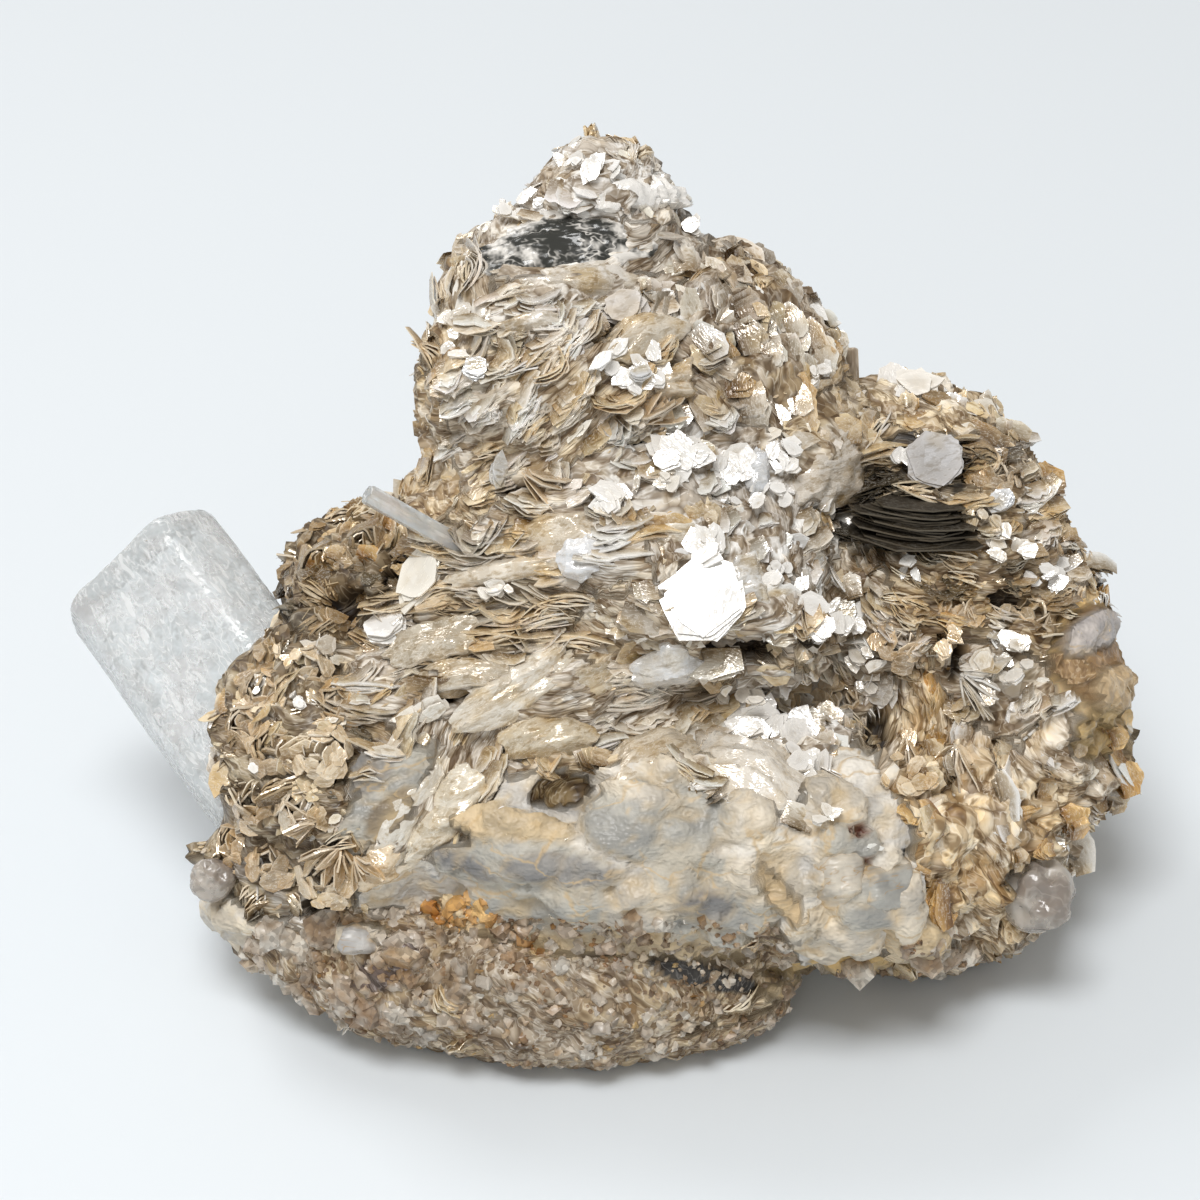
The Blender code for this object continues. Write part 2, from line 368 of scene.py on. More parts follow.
STYLES = {
    "cap": style(
        (-0.1, 0.5, 0.8), 0.3, 0.6, 0.4, (2.0, 5.0), 0.8, 3, 26,
        {"white": 12, "pearl": 4, "cream": 1.5, "silver": 1, "tan": 0.5}, "white", 0.8, sheaves=3),
    "smoky": style(
        (-0.05, 0.62, 0.78), 0.9, 0.1, 0.08, (4.0, 9.0), 0.45, 2, 7,
        {"silver": 4, "grey": 2, "pearl": 4, "white": 2}, "silver", 0.4, bend=0.15, sheaves=2),
    "flowing_left": style(
        (-0.9, 0.1, 0.4), 0.7, 0.2, 0.15, (4.0, 8.0), 0.5, 3, 11,
        {"pearl": 4, "cream": 3, "white": 3, "silver": 2}, "cream", 0.5, flow=(0.2, 1.0, 0.0), sheaves=8),
    "layered": style(
        (-0.1, 0.75, 0.6), 0.8, 0.2, 0.15, (4.0, 9.0), 0.45, 3, 8,
        {"silver": 3, "pearl": 5, "cream": 3, "tan": 1, "white": 4}, "silver", 0.7, flow=(1.0, 0.15, 0.0),
        sheaves=11),
    "diagonal": style(
        (-0.5, 0.6, 0.6), 0.75, 0.25, 0.2, (3.0, 8.0), 0.45, 3, 9,
        {"tan": 2, "cream": 4, "pearl": 5, "silver": 2, "white": 3.5}, "tan", 0.8, flow=(0.8, 0.6, 0.0),
        sheaves=13),
    "slope": style(
        (0.45, 0.3, 0.85), 0.50, 0.40, 0.25, (2.6, 7.5), 0.7, 3, 13,
        {"silver": 5, "tan": 1.6, "pearl": 3.5, "grey": 2.5, "white": 2, "brown": 1.2}, "brown", 1.0,
        flow=(-0.5, 1.0, 0.0), sheaves=8),
    "dimpled": style(
        (0.6, 0.1, 0.8), 0.6, 0.2, 0.12, (6.0, 10.0), 0.8, 2, 7,
        {"silver": 4, "pearl": 3, "tan": 3}, "tan", 0.7, bend=0.2, sheaves=1),
    "yellow_edge": style(
        (-0.6, 0.3, 0.7), 0.3, 0.5, 0.5, (1.2, 3.5), 0.7, 2, 42,
        {"cream": 4, "honey": 2, "tan": 3, "pearl": 3}, "cream", 0.9, sheaves=2),
    "bright": style(
        (-0.05, 0.34, 0.94), 0.6, 0.35, 0.28, (2.0, 6.5), 0.8, 2, 20,
        {"white": 10, "pearl": 5, "silver": 1.5, "cream": 3.5, "tan": 0.8}, "white", 0.8, sheaves=6),
    # Its slate ground is painted shade: dark colour between the ledges' plates.
    "ledge": style(
        (-0.1, 0.93, 0.34), 0.9, 0.1, 0.12, (5.0, 11.0), 0.5, 4, 7,
        {"tan": 3.4, "silver": 3, "cream": 2.5, "pearl": 2, "brown": 2.6, "grey": 2.5, "white": 0.6},
        "slate", 0.8, flow=(1.0, -0.1, 0.0), sheaves=13),
    "rounded": style(
        (0.1, 0.25, 0.95), 0.7, 0.2, 0.2, (4.0, 9.0), 0.85, 3, 12,
        {"silver": 5, "grey": 1, "pearl": 4, "tan": 2}, "tan", 0.7, bend=0.2, sheaves=5),
    # Both rosette styles have slate ground as painted shade: dark colour between the petals.
    "brown_rosette": style(
        (-0.3, 0.5, 0.7), 0.15, 0.9, 0.35, (3.0, 6.0), 0.85, 4, 26,
        {"tan": 1.6, "brown": 9, "slate": 3.4, "cream": 0.4, "honey": 0.8}, "slate", 1.2, sheaves=3),
    "rosette": style(
        (-0.2, 0.4, 0.8), 0.15, 0.9, 0.35, (2.5, 6.0), 0.8, 5, 26,
        {"tan": 5, "cream": 4, "pearl": 2, "brown": 3, "slate": 0.8, "silver": 1, "white": 0.6}, "slate",
        1.2, sheaves=3),
    "slates": style(
        (0.3, 0.9, 0.3), 0.8, 0.2, 0.15, (4.0, 8.0), 0.4, 4, 16,
        {"slate": 3, "grey": 4, "silver": 2, "brown": 2}, "brown", 0.6, flow=(1.0, -0.5, 0.0), sheaves=5),
    "folded": style(
        (-0.7, 0.35, 0.6), 0.8, 0.1, 0.15, (6.0, 12.0), 0.4, 2, 4,
        {"cream": 5, "silver": 2, "pearl": 5, "tan": 1}, "pearl", 0.8, flow=(0.5, 0.85, 0.0), bend=0.2,
        sheaves=3),
    "shredded": style(
        (0.1, 0.5, 0.85), 0.5, 0.45, 0.35, (1.5, 5.0), 0.35, 2, 16,
        {"white": 7, "pearl": 5, "cream": 3, "silver": 2}, "pearl", 0.9, flow=(0.8, -0.6, 0.0), sheaves=13),
    "albite": style(
        (0.0, 0.2, 0.98), 0.4, 0.2, 0.3, (1.5, 4.0), 0.5, 1, 1.5,
        {"white": 3, "pearl": 3, "cream": 1}, "pearl", 0.9, sheaves=0),
    "ochre_band": style(
        (0.6, 0.2, 0.8), 0.75, 0.25, 0.25, (1.2, 4.5), 0.35, 2, 4.5,
        {"cream": 7, "honey": 4.5, "tan": 2, "pearl": 3, "white": 3}, "cream", 1.7, flow=(-0.25, 1.0, 0.0),
        sheaves=3.5),
    "crust": style(
        (0.0, -0.2, 1.0), 0.2, 0.6, 0.6, (0.8, 2.2), 0.8, 1, 11,
        {"tan": 4, "silver": 2, "grey": 2, "cream": 2, "brown": 2, "pearl": 1}, "brown", 1.0,
        flow=(-0.7, 0.7, 0.0), sheaves=0.5, grains=85),
    "rust": style(
        (0.0, 0.0, 1.0), 0.2, 0.6, 0.6, (0.8, 1.6), 0.8, 1, 14,
        {"honey": 6, "cream": 1, "brown": 1}, "honey", 0.8, sheaves=0, grains=150),
    "dark_book": style(
        (0.05, 0.95, 0.3), 0.95, 0.05, 0.06, (5.0, 12.0), 0.5, 5, 9,
        {"black": 5, "slate": 2, "brown": 3, "tan": 2.5, "silver": 1}, "black", 0.5,
        flow=(1.0, -0.05, 0.0), sheaves=13),
    "lobe": style(
        (0.15, 0.75, 0.6), 0.6, 0.35, 0.3, (2.0, 5.5), 0.65, 4, 17,
        {"tan": 5, "silver": 2, "cream": 2.5, "pearl": 1.5, "brown": 3, "slate": 1, "honey": 1, "white": 0.8},
        "brown", 1.1, sheaves=10),
    "lobe_top": style(
        (-0.1, 0.5, 0.85), 0.6, 0.3, 0.3, (2.0, 5.0), 0.8, 2, 28,
        {"white": 4, "cream": 3, "pearl": 3, "tan": 2}, "cream", 0.8, sheaves=2),
    "fans": style(
        (-0.1, 0.3, 0.9), 0.4, 0.6, 0.3, (2.5, 6.5), 0.6, 3, 16,
        {"pearl": 4, "silver": 3, "white": 3, "cream": 3}, "tan", 0.9, sheaves=6),
    "golden_rim": style(
        (0.8, 0.1, 0.5), 0.4, 0.4, 0.3, (1.2, 3.5), 0.6, 1, 9,
        {"honey": 6, "cream": 2, "tan": 3}, "honey", 0.8, sheaves=1),
    "mixed": style(
        (0.0, 0.6, 0.6), 0.2, 0.7, 0.35, (3.0, 7.0), 0.7, 3, 12,
        {"tan": 4, "cream": 3, "silver": 3, "pearl": 2, "white": 0.8}, "tan", 0.9, sheaves=7),
}
STYLE_NAMES = list(STYLES)

# Kinds of surface on the front, in view units:
# centre x, centre y, half width, half height, turn in degrees, style, piece
ZONES = [
    (600, 180, 100, 62, 0, "cap", "mica_peak"),
    (565, 245, 140, 40, 0, "smoky", "mica_upper_face"),
    (457, 290, 38, 75, 12, "flowing_left", "mica_upper_face"),
    (560, 310, 125, 42, 8, "layered", "mica_upper_face"),
    (550, 390, 150, 85, 28, "diagonal", "mica_upper_face"),
    (770, 320, 100, 120, -35, "slope", "mica_right_shoulder"),
    (830, 445, 50, 66, -15, "dimpled", "mica_right_shoulder"),
    (428, 450, 34, 75, 0, "yellow_edge", "mica_upper_face"),
    (690, 470, 130, 55, 0, "bright", "mica_middle"),
    (760, 560, 120, 90, -20, "bright", "mica_middle"),
    (560, 540, 90, 55, 0, "layered", "mica_middle"),
    (470, 605, 130, 75, -8, "ledge", "mica_left_ledges"),
    (650, 645, 95, 50, -10, "rounded", "mica_middle"),
    (600, 700, 140, 45, -15, "layered", "mica_left_ledges"),
    (850, 620, 60, 95, 10, "fans", "mica_middle"),
    (780, 720, 75, 50, 0, "bright", "mica_middle"),
    (345, 575, 85, 72, 0, "brown_rosette", "mica_back_rosette"),
    (275, 730, 82, 110, 10, "rosette", "mica_left_rosettes"),
    (290, 850, 90, 70, 0, "rosette", "mica_left_rosettes"),
    (365, 750, 45, 38, -20, "slates", "mica_left_rosettes"),
    (425, 800, 75, 95, 35, "folded", "albite_flecks"),
    (620, 860, 270, 95, 4, "albite", "albite_flecks"),
    (850, 860, 95, 115, 0, "albite", "albite_flecks"),
    (745, 782, 92, 40, -22, "shredded", "mica_middle"),
    (430, 775, 95, 34, 42, "folded", "albite_flecks"),
    (940, 780, 65, 150, 10, "ochre_band", "mica_ochre_band"),
    (985, 850, 70, 110, 0, "ochre_band", "mica_ochre_band"),
    (470, 985, 330, 95, 8, "crust", "crust_chips"),
    (466, 915, 52, 27, -12, "rust", "crust_chips"),
    (534, 948, 34, 17, -20, "rust", "crust_chips"),
    (920, 975, 100, 32, 0, "crust", "crust_chips"),
    (930, 495, 88, 66, -8, "dark_book", "mica_lobe"),
    (990, 560, 125, 130, 0, "lobe", "mica_lobe"),
    (925, 395, 75, 38, -20, "lobe_top", "mica_lobe"),
    (985, 680, 70, 60, 0, "fans", "mica_lobe"),
    (1095, 655, 48, 85, 10, "golden_rim", "mica_lobe"),
    (1080, 780, 60, 80, 0, "ochre_band", "mica_ochre_band"),
]


def zone_numbers(points, normals):
    """Number of the zone that each point lies in, or -1 away from them all.

    Each zone is an ellipse in the view; its strength falls from 1 at its centre to 0 at
    its edge, a noise makes the edges ragged, and the strongest zone wins. Points that
    face away from the camera lie in none."""
    x, y, _ = to_view(points)
    ragged = 0.35 * cloud(points, 7.0, 3, seed=5)
    best = np.zeros(len(points))
    found = np.full(len(points), -1)
    for number, zone in enumerate(ZONES):
        strength = ellipse(x, y, *zone[:5]) + ragged
        stronger = strength > best
        best = np.where(stronger, strength, best)
        found = np.where(stronger, number, found)
    return np.where(normals @ OUT > FRONT_LIMIT, found, -1)


def back_styles(points):
    """Style numbers for the sides, back and underside, in broad patches made by a noise."""
    patch = cloud(points, 22.0, 2, seed=31)
    crusty = points[:, 2] < 8.0 + 5.0 * cloud(points, 12.0, 2, seed=33)
    kinds = [STYLE_NAMES.index(n) for n in ("albite", "layered", "mixed", "rosette", "lobe")]
    number = np.select([patch < -0.42, patch < -0.12, patch < 0.22, patch < 0.42], kinds[:4], kinds[4])
    return np.where(crusty, STYLE_NAMES.index("crust"), number)


ZONE_STYLES = np.array([STYLE_NAMES.index(z[5]) for z in ZONES] + [-1])
PIECES = list(dict.fromkeys([z[6] for z in ZONES] + ["mica_back"]))
ZONE_PIECES = np.array([PIECES.index(z[6]) for z in ZONES] + [PIECES.index("mica_back")])


# Masses of albite on the front, and hollows between the mica, later rows over earlier ones:
# centre x, centre y, half width, half height and turn in the view, rise in mm, colour,
# and how far it is albite, 0 to 1. Most hollows are painted near black, as painted shade
# in the recesses between the mica.
ICE, MILK, STREAKED, CREAMY, OCHRE, HOLLOW_SHADE = ((0.45, 0.44, 0.40), (0.68, 0.62, 0.52), (0.27, 0.265, 0.26),
                                             (0.60, 0.48, 0.31), (0.58, 0.41, 0.18), (0.085, 0.060, 0.032))
MASSES = [
    (600, 925, 175, 34, -6, 0.6, CREAMY, 1), (565, 912, 120, 26, -4, 1.2, ICE, 1),
    (512, 826, 72, 22, -8, 1.8, CREAMY, 1), (528, 867, 106, 30, -5, 1.2, ICE, 1),
    (560, 868, 66, 16, -6, 1.3, STREAKED, 1), (468, 862, 40, 10, -22, 1.3, STREAKED, 1),
    (385, 800, 78, 26, 52, 1.6, ICE, 1), (372, 770, 30, 20, 52, 1.9, STREAKED, 1),
    (392, 812, 34, 17, 48, 1.4, (0.30, 0.24, 0.165), 1), (712, 800, 70, 44, -18, 1.6, MILK, 1),
    (655, 822, 86, 44, 0, 1.2, ICE, 1), (642, 800, 38, 12, -12, 2.4, MILK, 1),
    (706, 898, 88, 46, 0, 1.2, ICE, 1), (706, 902, 34, 16, -8, 1.9, STREAKED, 1),
    (640, 905, 40, 24, 12, 1.7, MILK, 1), (750, 880, 30, 18, -35, 1.9, MILK, 1),
    (784, 900, 46, 13, -50, 1.6, (0.60, 0.46, 0.28), 0.8), (806, 925, 24, 18, 0, 2.2, MILK, 1),
    (832, 806, 40, 30, -30, 1.6, MILK, 1), (848, 842, 34, 22, 0, 1.4, ICE, 1),
    (838, 878, 30, 18, 0, 1.8, MILK, 1), (868, 905, 34, 28, 0, 2.0, ICE, 1),
    (900, 900, 20, 52, 8, 2.0, MILK, 1), (840, 940, 50, 20, 0, 1.6, MILK, 1),
    (925, 940, 18, 26, 15, 2.4, CREAMY, 1), (858, 831, 11, 7, 0, -1.0, (0.20, 0.07, 0.04), 1),
    (858, 865, 13, 6, 5, -1.0, (0.22, 0.09, 0.05), 1), (850, 964, 95, 9, 4, -0.6, OCHRE, 1),
    (850, 982, 100, 14, 6, 0.9, (0.60, 0.46, 0.27), 1),
    (700, 974, 62, 13, -14, 0.2, (0.05, 0.045, 0.04), 0),
    (392, 966, 46, 20, 25, 0.6, (0.20, 0.15, 0.13), 0), (348, 936, 44, 14, 4, 1.2, MILK, 1),
    (1096, 655, 40, 56, 8, 0.4, (0.70, 0.46, 0.23), 0.3),
    (1108, 690, 24, 26, 0, 1.8, (0.84, 0.64, 0.39), 0.6),
    (1068, 668, 22, 15, -40, 1.2, (0.58, 0.40, 0.21), 0.2), (1130, 640, 9, 44, 8, 1.2, OCHRE, 0.7),
    (1088, 634, 34, 20, 35, 1.4, (0.55, 0.515, 0.50), 1), (1096, 735, 34, 30, 0, 1.0, OCHRE, 0.7),
    (562, 790, 34, 15, 8, -1.2, (0.24, 0.17, 0.08), 0), (742, 655, 44, 17, -4, -3.5, HOLLOW_SHADE, 0),
    (646, 441, 30, 9, 3, -2.5, HOLLOW_SHADE, 0), (722, 494, 24, 6, -8, -2.0, HOLLOW_SHADE, 0),
    (522, 488, 26, 7, -5, -2.5, HOLLOW_SHADE, 0), (828, 512, 20, 8, 0, -2.5, HOLLOW_SHADE, 0),
    (952, 655, 13, 28, 10, -4.0, HOLLOW_SHADE, 0), (905, 540, 44, 9, 0, -3.0, HOLLOW_SHADE, 0),
    (972, 472, 30, 9, -10, -2.5, HOLLOW_SHADE, 0), (438, 700, 34, 9, 5, -3.0, HOLLOW_SHADE, 0),
    (348, 605, 30, 18, 0, -3.0, HOLLOW_SHADE, 0), (395, 572, 22, 14, 0, -3.0, HOLLOW_SHADE, 0),
    (325, 905, 24, 14, 0, -2.5, HOLLOW_SHADE, 0), (812, 640, 22, 10, -30, -2.5, HOLLOW_SHADE, 0),
    (880, 730, 14, 24, 10, -3.0, HOLLOW_SHADE, 0), (740, 340, 12, 22, 30, -2.0, HOLLOW_SHADE, 0),
    (318, 780, 16, 12, 0, -2.5, HOLLOW_SHADE, 0), (420, 640, 40, 7, -6, -2.5, HOLLOW_SHADE, 0),
    (1010, 600, 24, 10, 0, -2.5, HOLLOW_SHADE, 0),
]


def masses_at(points, normals):
    """Rise, colour, share, albite share and closeness to a border that the masses give.

    A mass's strength is that of its ellipse, made ragged by a noise. Its share goes
    smoothly from 0 at its edge to 1 a little inside it, and covers the rows before it."""
    x, y, _ = to_view(points)
    ragged = 0.34 * cloud(points, 4.5, 3, seed=57)
    towards = smoothstep(-0.1, 0.25, normals @ OUT)
    rise, share, albite, border = np.zeros((4, len(points)))
    colour = np.zeros((len(points), 3))
    for *place, height, tint, kind in MASSES:
        strength = ellipse(x, y, *place) + ragged
        own = smoothstep(0.0, 0.28, strength) * towards
        rise += own * (height * (0.75 + 0.25 * strength) - rise)
        share += own * (1.0 - share)
        albite += own * (kind - albite)
        colour += own[:, None] * (np.array(tint) - colour)
        border += own * (kind * np.exp(-((strength - 0.12) / 0.14) ** 2) - border)
    return rise, colour, share, albite, border


def style_numbers(points, normals):
    """Style number and zone number of each point."""
    zones = zone_numbers(points, normals)
    styles = np.where(zones >= 0, ZONE_STYLES[zones], back_styles(points))
    return styles, zones


def per_style(key):
    """One array that holds a value of every style, in order."""
    return np.array([STYLES[name][key] for name in STYLE_NAMES])


def style_directions(key, styles):
    """World direction of each style's facing or flow."""
    return unit(per_style(key) @ LAYOUT)[styles]


def leanings(styles, zones):
    """Each place's pull and swirl from its style; nothing pulls the plates on the back."""
    pull = per_style("pull")[styles] * (zones >= 0)
    return pull[:, None], per_style("swirl")[styles][:, None]


def of_style(styles, *names):
    """True where a style number is that of one of the named styles."""
    return np.isin(styles, [STYLE_NAMES.index(name) for name in names])


# ---------------------------------------------------------------- rock body

def merged_rock():
    """Copy of the matrix with its corners merged, remeshed finer and softened."""
    builder = bmesh.new()
    builder.from_mesh(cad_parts["matrix"].data)
    bmesh.ops.remove_doubles(builder, verts=builder.verts, dist=0.002 * MM)
    mesh = bpy.data.meshes.new("rock_start")
    builder.to_mesh(mesh)
    builder.free()
    start = shown_object("rock_start", mesh)
    remesh = start.modifiers.new("even", "REMESH")
    remesh.mode = "VOXEL"
    remesh.voxel_size = ROCK_VOXEL * MM
    soften = start.modifiers.new("soften", "SMOOTH")
    soften.factor = 0.5
    soften.iterations = 6
    shown = start.evaluated_get(bpy.context.evaluated_depsgraph_get())
    mesh = bpy.data.meshes.new_from_object(shown)
    bpy.data.objects.remove(start)
    return mesh


def crystal_axis():
    """Tip and inward direction of the aquamarine, from its node's own corners.

    The long axis is the direction in which the node's points spread most."""
    points, _ = mesh_arrays(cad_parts["aquamarine"].data)
    centre = (points.min(0) + points.max(0)) / 2
    _, _, axes = np.linalg.svd(points - points.mean(0))
    inward = axes[0] * (1.0 if axes[0] @ ACROSS > 0 else -1.0)
    along = (points - centre) @ inward
    return centre + inward * along.min(), inward, np.ptp(along)


CRYSTAL_TIP, CRYSTAL_INWARD, CRYSTAL_LENGTH = crystal_axis()


def crystal_clearance(points):
    """0 inside and close to the aquamarine, 1 from 3 mm outside it."""
    offset = points - CRYSTAL_TIP
    along = offset @ CRYSTAL_INWARD
    radius = np.linalg.norm(offset - along[:, None] * CRYSTAL_INWARD, axis=1)
    inside = (along > -6.0) & (along < CRYSTAL_LENGTH + 1.0)
    return np.where(inside, smoothstep(12.0, 14.5, radius), 1.0)


def layered_places(points, styles):
    """Places along the flow, across it and through the layers, in millimetres, after a slow
    noise has bent them."""
    bent = points + 1.8 * np.stack([cloud(points, 11.0, 2, seed=91 + n) for n in range(3)], axis=1)
    facing = style_directions("facing", styles)
    flow = style_directions("flow", styles)
    along = unit(flow - (flow * facing).sum(1, keepdims=True) * facing)
    side = np.cross(facing, along)
    return np.stack([(bent * along).sum(1), (bent * side).sum(1), (bent * facing).sum(1)], axis=1)


def sawtooth(value):
    """Rises slowly from 0 to 1 and falls back at each whole number."""
    part = value - np.floor(value)
    return part * (1.0 - smoothstep(0.86, 1.0, part))


def fractures(points):
    """Closeness, 0 to 1, to thin curved fractures: where one of two noises, squeezed
    upwards, passes through its middle."""
    squeezed = points * np.array([1.0, 1.0, 1.6])
    long = np.exp(-(cloud(squeezed, 10.0, 3, seed=61) / 0.05) ** 2)
    short = np.exp(-(cloud(squeezed, 5.0, 2, seed=63) / 0.05) ** 2)
    return np.maximum(long, 0.6 * short)


def rock_relief(points, styles, albite, cracks):
    """Height added along the normals, away from the aquamarine.

    Every ground gets broken swells. Mica ground also gets ledges, a sawtooth of the place
    through the layers in two widths, and scales of uneven height. Albite gets blocks and
    scales of uneven height, one width of ledges, and grooves along its fractures. Crust
    gets packed grains."""
    relief = per_style("relief")[styles]
    broken = cloud(points, 6.0, 4, seed=41)
    through = layered_places(points, styles)[:, 2]
    wide = sawtooth(through / 2.9 + 0.8 * cloud(points, 6.0, 2, seed=43))
    narrow = sawtooth(through / 1.3 + 0.6 * cloud(points, 3.0, 2, seed=45))
    lump, lump_own = grains(points + 1.5 * broken[:, None], 6.5, seed=47)
    scale, scale_own = grains(points, 2.3, seed=51)
    mica = 1.1 * broken + 1.4 * (wide - 0.5) + 0.55 * (narrow - 0.5) + 1.6 * (scale_own - 0.5) * (1.0 - scale)
    blocks = 1.3 * (lump_own - 0.5) - 0.5 * lump ** 2 + 0.8 * (wide - 0.5)
    blocks = blocks + 0.7 * (scale_own - 0.5) * (1.0 - scale)
    soft = 0.5 * broken + blocks + 0.4 * cloud(points, 2.4, 2, seed=49) - 0.6 * cracks
    crust = 1.2 * (0.5 - scale ** 2) * (0.4 + scale_own) + 1.0 * broken
    rough = np.where(of_style(styles, "crust"), crust, mica)
    return 1.15 * relief * (albite * soft + (1.0 - albite) * rough)


def build_rock(finish):
    """The rock body: the merged matrix with its relief and masses, flat underneath."""
    mesh = merged_rock()
    points, normals = mesh_arrays(mesh)
    styles, _ = style_numbers(points, normals)
    rise, colour, share, albite, border = masses_at(points, normals)
    albite = albite + (1.0 - share) * of_style(styles, "albite", "golden_rim")
    cracks = fractures(points)
    border = np.maximum(border, 0.8 * albite * cracks)
    height = (rock_relief(points, styles, albite, cracks) + rise) * crystal_clearance(points)
    lifted = points + normals * height[:, None]
    flat = points[:, 2] < BASE_DEPTH
    lifted[:, 2] = np.where(flat, points[:, 2], np.maximum(lifted[:, 2], ROCK_LOWEST))
    mesh.vertices.foreach_set("co", (lifted * MM).ravel())
    finish_mesh(mesh, finish)
    mesh.update()
    rock = shown_object("rock_body", mesh)
    settle(rock, ("matrix",))
    near = picked_colours(points, styles, 0.8 * soft_noise(points, 1.6, 87))
    depth = 0.48 + 0.09 * of_style(styles, "ochre_band", "golden_rim") - 0.08 * of_style(styles, "albite")
    ground = depth[:, None] * (per_style("ground")[styles] + near)
    ground = ground + share[:, None] * (colour - ground)
    put_colours(rock, "ground", ground)
    put_attribute(rock, "albite", "FLOAT", albite)
    put_attribute(rock, "border", "FLOAT", border)
    put_sheet(rock, layered_places(points, styles))
    return rock


# ---------------------------------------------------------------- places named by view position

MAP_CELL = 5.0
NO_ROCK = -60.0  # out where the front holds no rock
FEATURE_CORE, FEATURE_DEPTH = 0.20, 2.5  # the part of a feature that is kept free, in strength and mm


def front_map(points, normals):
    """How far out the rock's front reaches in each small square of the view; squares
    without a rock point take the furthest reach of their neighbours."""
    size = int(VIEW_SIDE / MAP_CELL)
    x, y, out = to_view(points)
    column = np.clip((x / MAP_CELL).astype(int), 0, size - 1)
    row = np.clip((y / MAP_CELL).astype(int), 0, size - 1)
    reach = np.full((size, size), NO_ROCK)
    towards = normals @ OUT > 0.0
    np.maximum.at(reach, (row[towards], column[towards]), out[towards])
    for _ in range(3):
        wide = np.pad(reach, 1, mode="edge")
        around = np.max([wide[1 + dy:1 + dy + size, 1 + dx:1 + dx + size]
                         for dy in (-1, 0, 1) for dx in (-1, 0, 1)], axis=0)
        reach = np.where(reach < NO_ROCK + 1.0, around, reach)
    return reach


def seen_at(x, y):
    """Out of the rock's front at view places."""
    row = np.clip((np.asarray(y) / MAP_CELL).astype(int), 0, len(FRONT) - 1)
    column = np.clip((np.asarray(x) / MAP_CELL).astype(int), 0, len(FRONT) - 1)
    return FRONT[row, column]


def on_rock(x, y, lift):
    """World place of a view position, lifted outwards from the rock's front."""
    return from_view(x, y, seen_at(x, y) + lift)


def free_of_features(places):
    """False where a place lies under or in front of a feature's middle."""
    x, y, out = to_view(places)
    free = np.ones(len(places), bool)
    for *feature, reach in FEATURES:
        free &= ~((ellipse(x, y, *feature) > FEATURE_CORE) & (out > reach - FEATURE_DEPTH))
    return free


# ---------------------------------------------------------------- mica plates

def plate_outlines(count, corners, ragged, rng):
    """Angle and radius of each plate's corners: the nearest of six broken sides in that
    direction, which is a side's distance over the cosine of the angle from it."""
    angles = (np.arange(corners) + rng.normal(0.0, 0.18, (count, corners))) * (2 * math.pi / corners)
    headings = np.arange(6) * math.pi / 3 + rng.normal(0.0, 0.12 + 0.35 * ragged, (count, 6))
    gaps = 0.87 * (1.0 - ragged * rng.uniform(0.0, 1.0, (count, 6)) ** 2)
    towards = np.cos(angles[:, :, None] - headings[:, None, :])
    radius = (gaps[:, None, :] / np.maximum(towards, 0.35)).min(2)
    return angles, radius * (1.0 - 3.0 / corners * ragged * rng.uniform(0.0, 1.0, angles.shape) ** 2)


def plate_template(corners, rings):
    """Cap triangles, cap quads and rim quads of one plate."""
    around = np.arange(corners)
    after = np.roll(around, -1)
    cap = 1 + corners * rings
    first = np.stack([np.zeros(corners, int), 1 + around, 1 + after], axis=1)
    tris = np.vstack([first, first[:, ::-1] + cap])
    quads = np.zeros((0, 4), int)
    if rings == 2:
        band = np.stack([1 + around, 1 + corners + around, 1 + corners + after, 1 + after], axis=1)
        quads = np.vstack([band, band[:, ::-1] + cap])
    edge = 1 + corners * (rings - 1)
    rim = np.stack([edge + around, cap + edge + around, cap + edge + after, edge + after], axis=1)
    return tris, quads, rim


def plate_cloud(plates, corners, rings, rng):
    """Points, sheet places and flat places of many closed plates.

    Each plate is two caps and a rim; a cap is a centre point and one or two rings of its
    outline. A point's height over the plate's plane, as a share of half the length, is
    bend times (x squared - 0.4 y squared), plus ripple times a sine along a slanting
    direction; the caps lie half the thickness to each side."""
    count = len(plates["place"])
    angles, radius = plate_outlines(count, corners, plates["ragged"][:, None], rng)
    steps = np.array([1.0]) if rings == 1 else np.array([0.55, 1.0])
    x = (steps[None, :, None] * (radius * np.cos(angles))[:, None, :]).reshape(count, -1)
    y = (steps[None, :, None] * (radius * np.sin(angles))[:, None, :]).reshape(count, -1)
    x = np.hstack([np.zeros((count, 1)), x])
    y = np.hstack([np.zeros((count, 1)), y])
    phase = rng.uniform(0.0, 2 * math.pi, (count, 1))
    wave = plates["ripple"][:, None] * np.sin(3.1 * x + 1.7 * y + phase)
    height = (plates["bend"][:, None] * (x ** 2 - 0.4 * y ** 2) + wave) * plates["length"][:, None]
    px, py = x * plates["length"][:, None], y * plates["width"][:, None]
    half = plates["thickness"][:, None] / 2
    local = np.concatenate([np.stack([px, py, height + half], axis=2),
                            np.stack([px, py, height - half], axis=2)], axis=1)
    points = np.einsum("nki,nij->nkj", local, plates["frame"]) + plates["place"][:, None, :]
    shift = rng.uniform(0.0, 200.0, (count, 1, 3))
    return points, local + shift, np.stack([x, y], axis=2)


def repeat_faces(template, count, points_each):
    """The same faces for every copy of a shape."""
    start = (np.arange(count) * points_each)[:, None, None]
    return (template[None] + start).reshape(-1, template.shape[1])


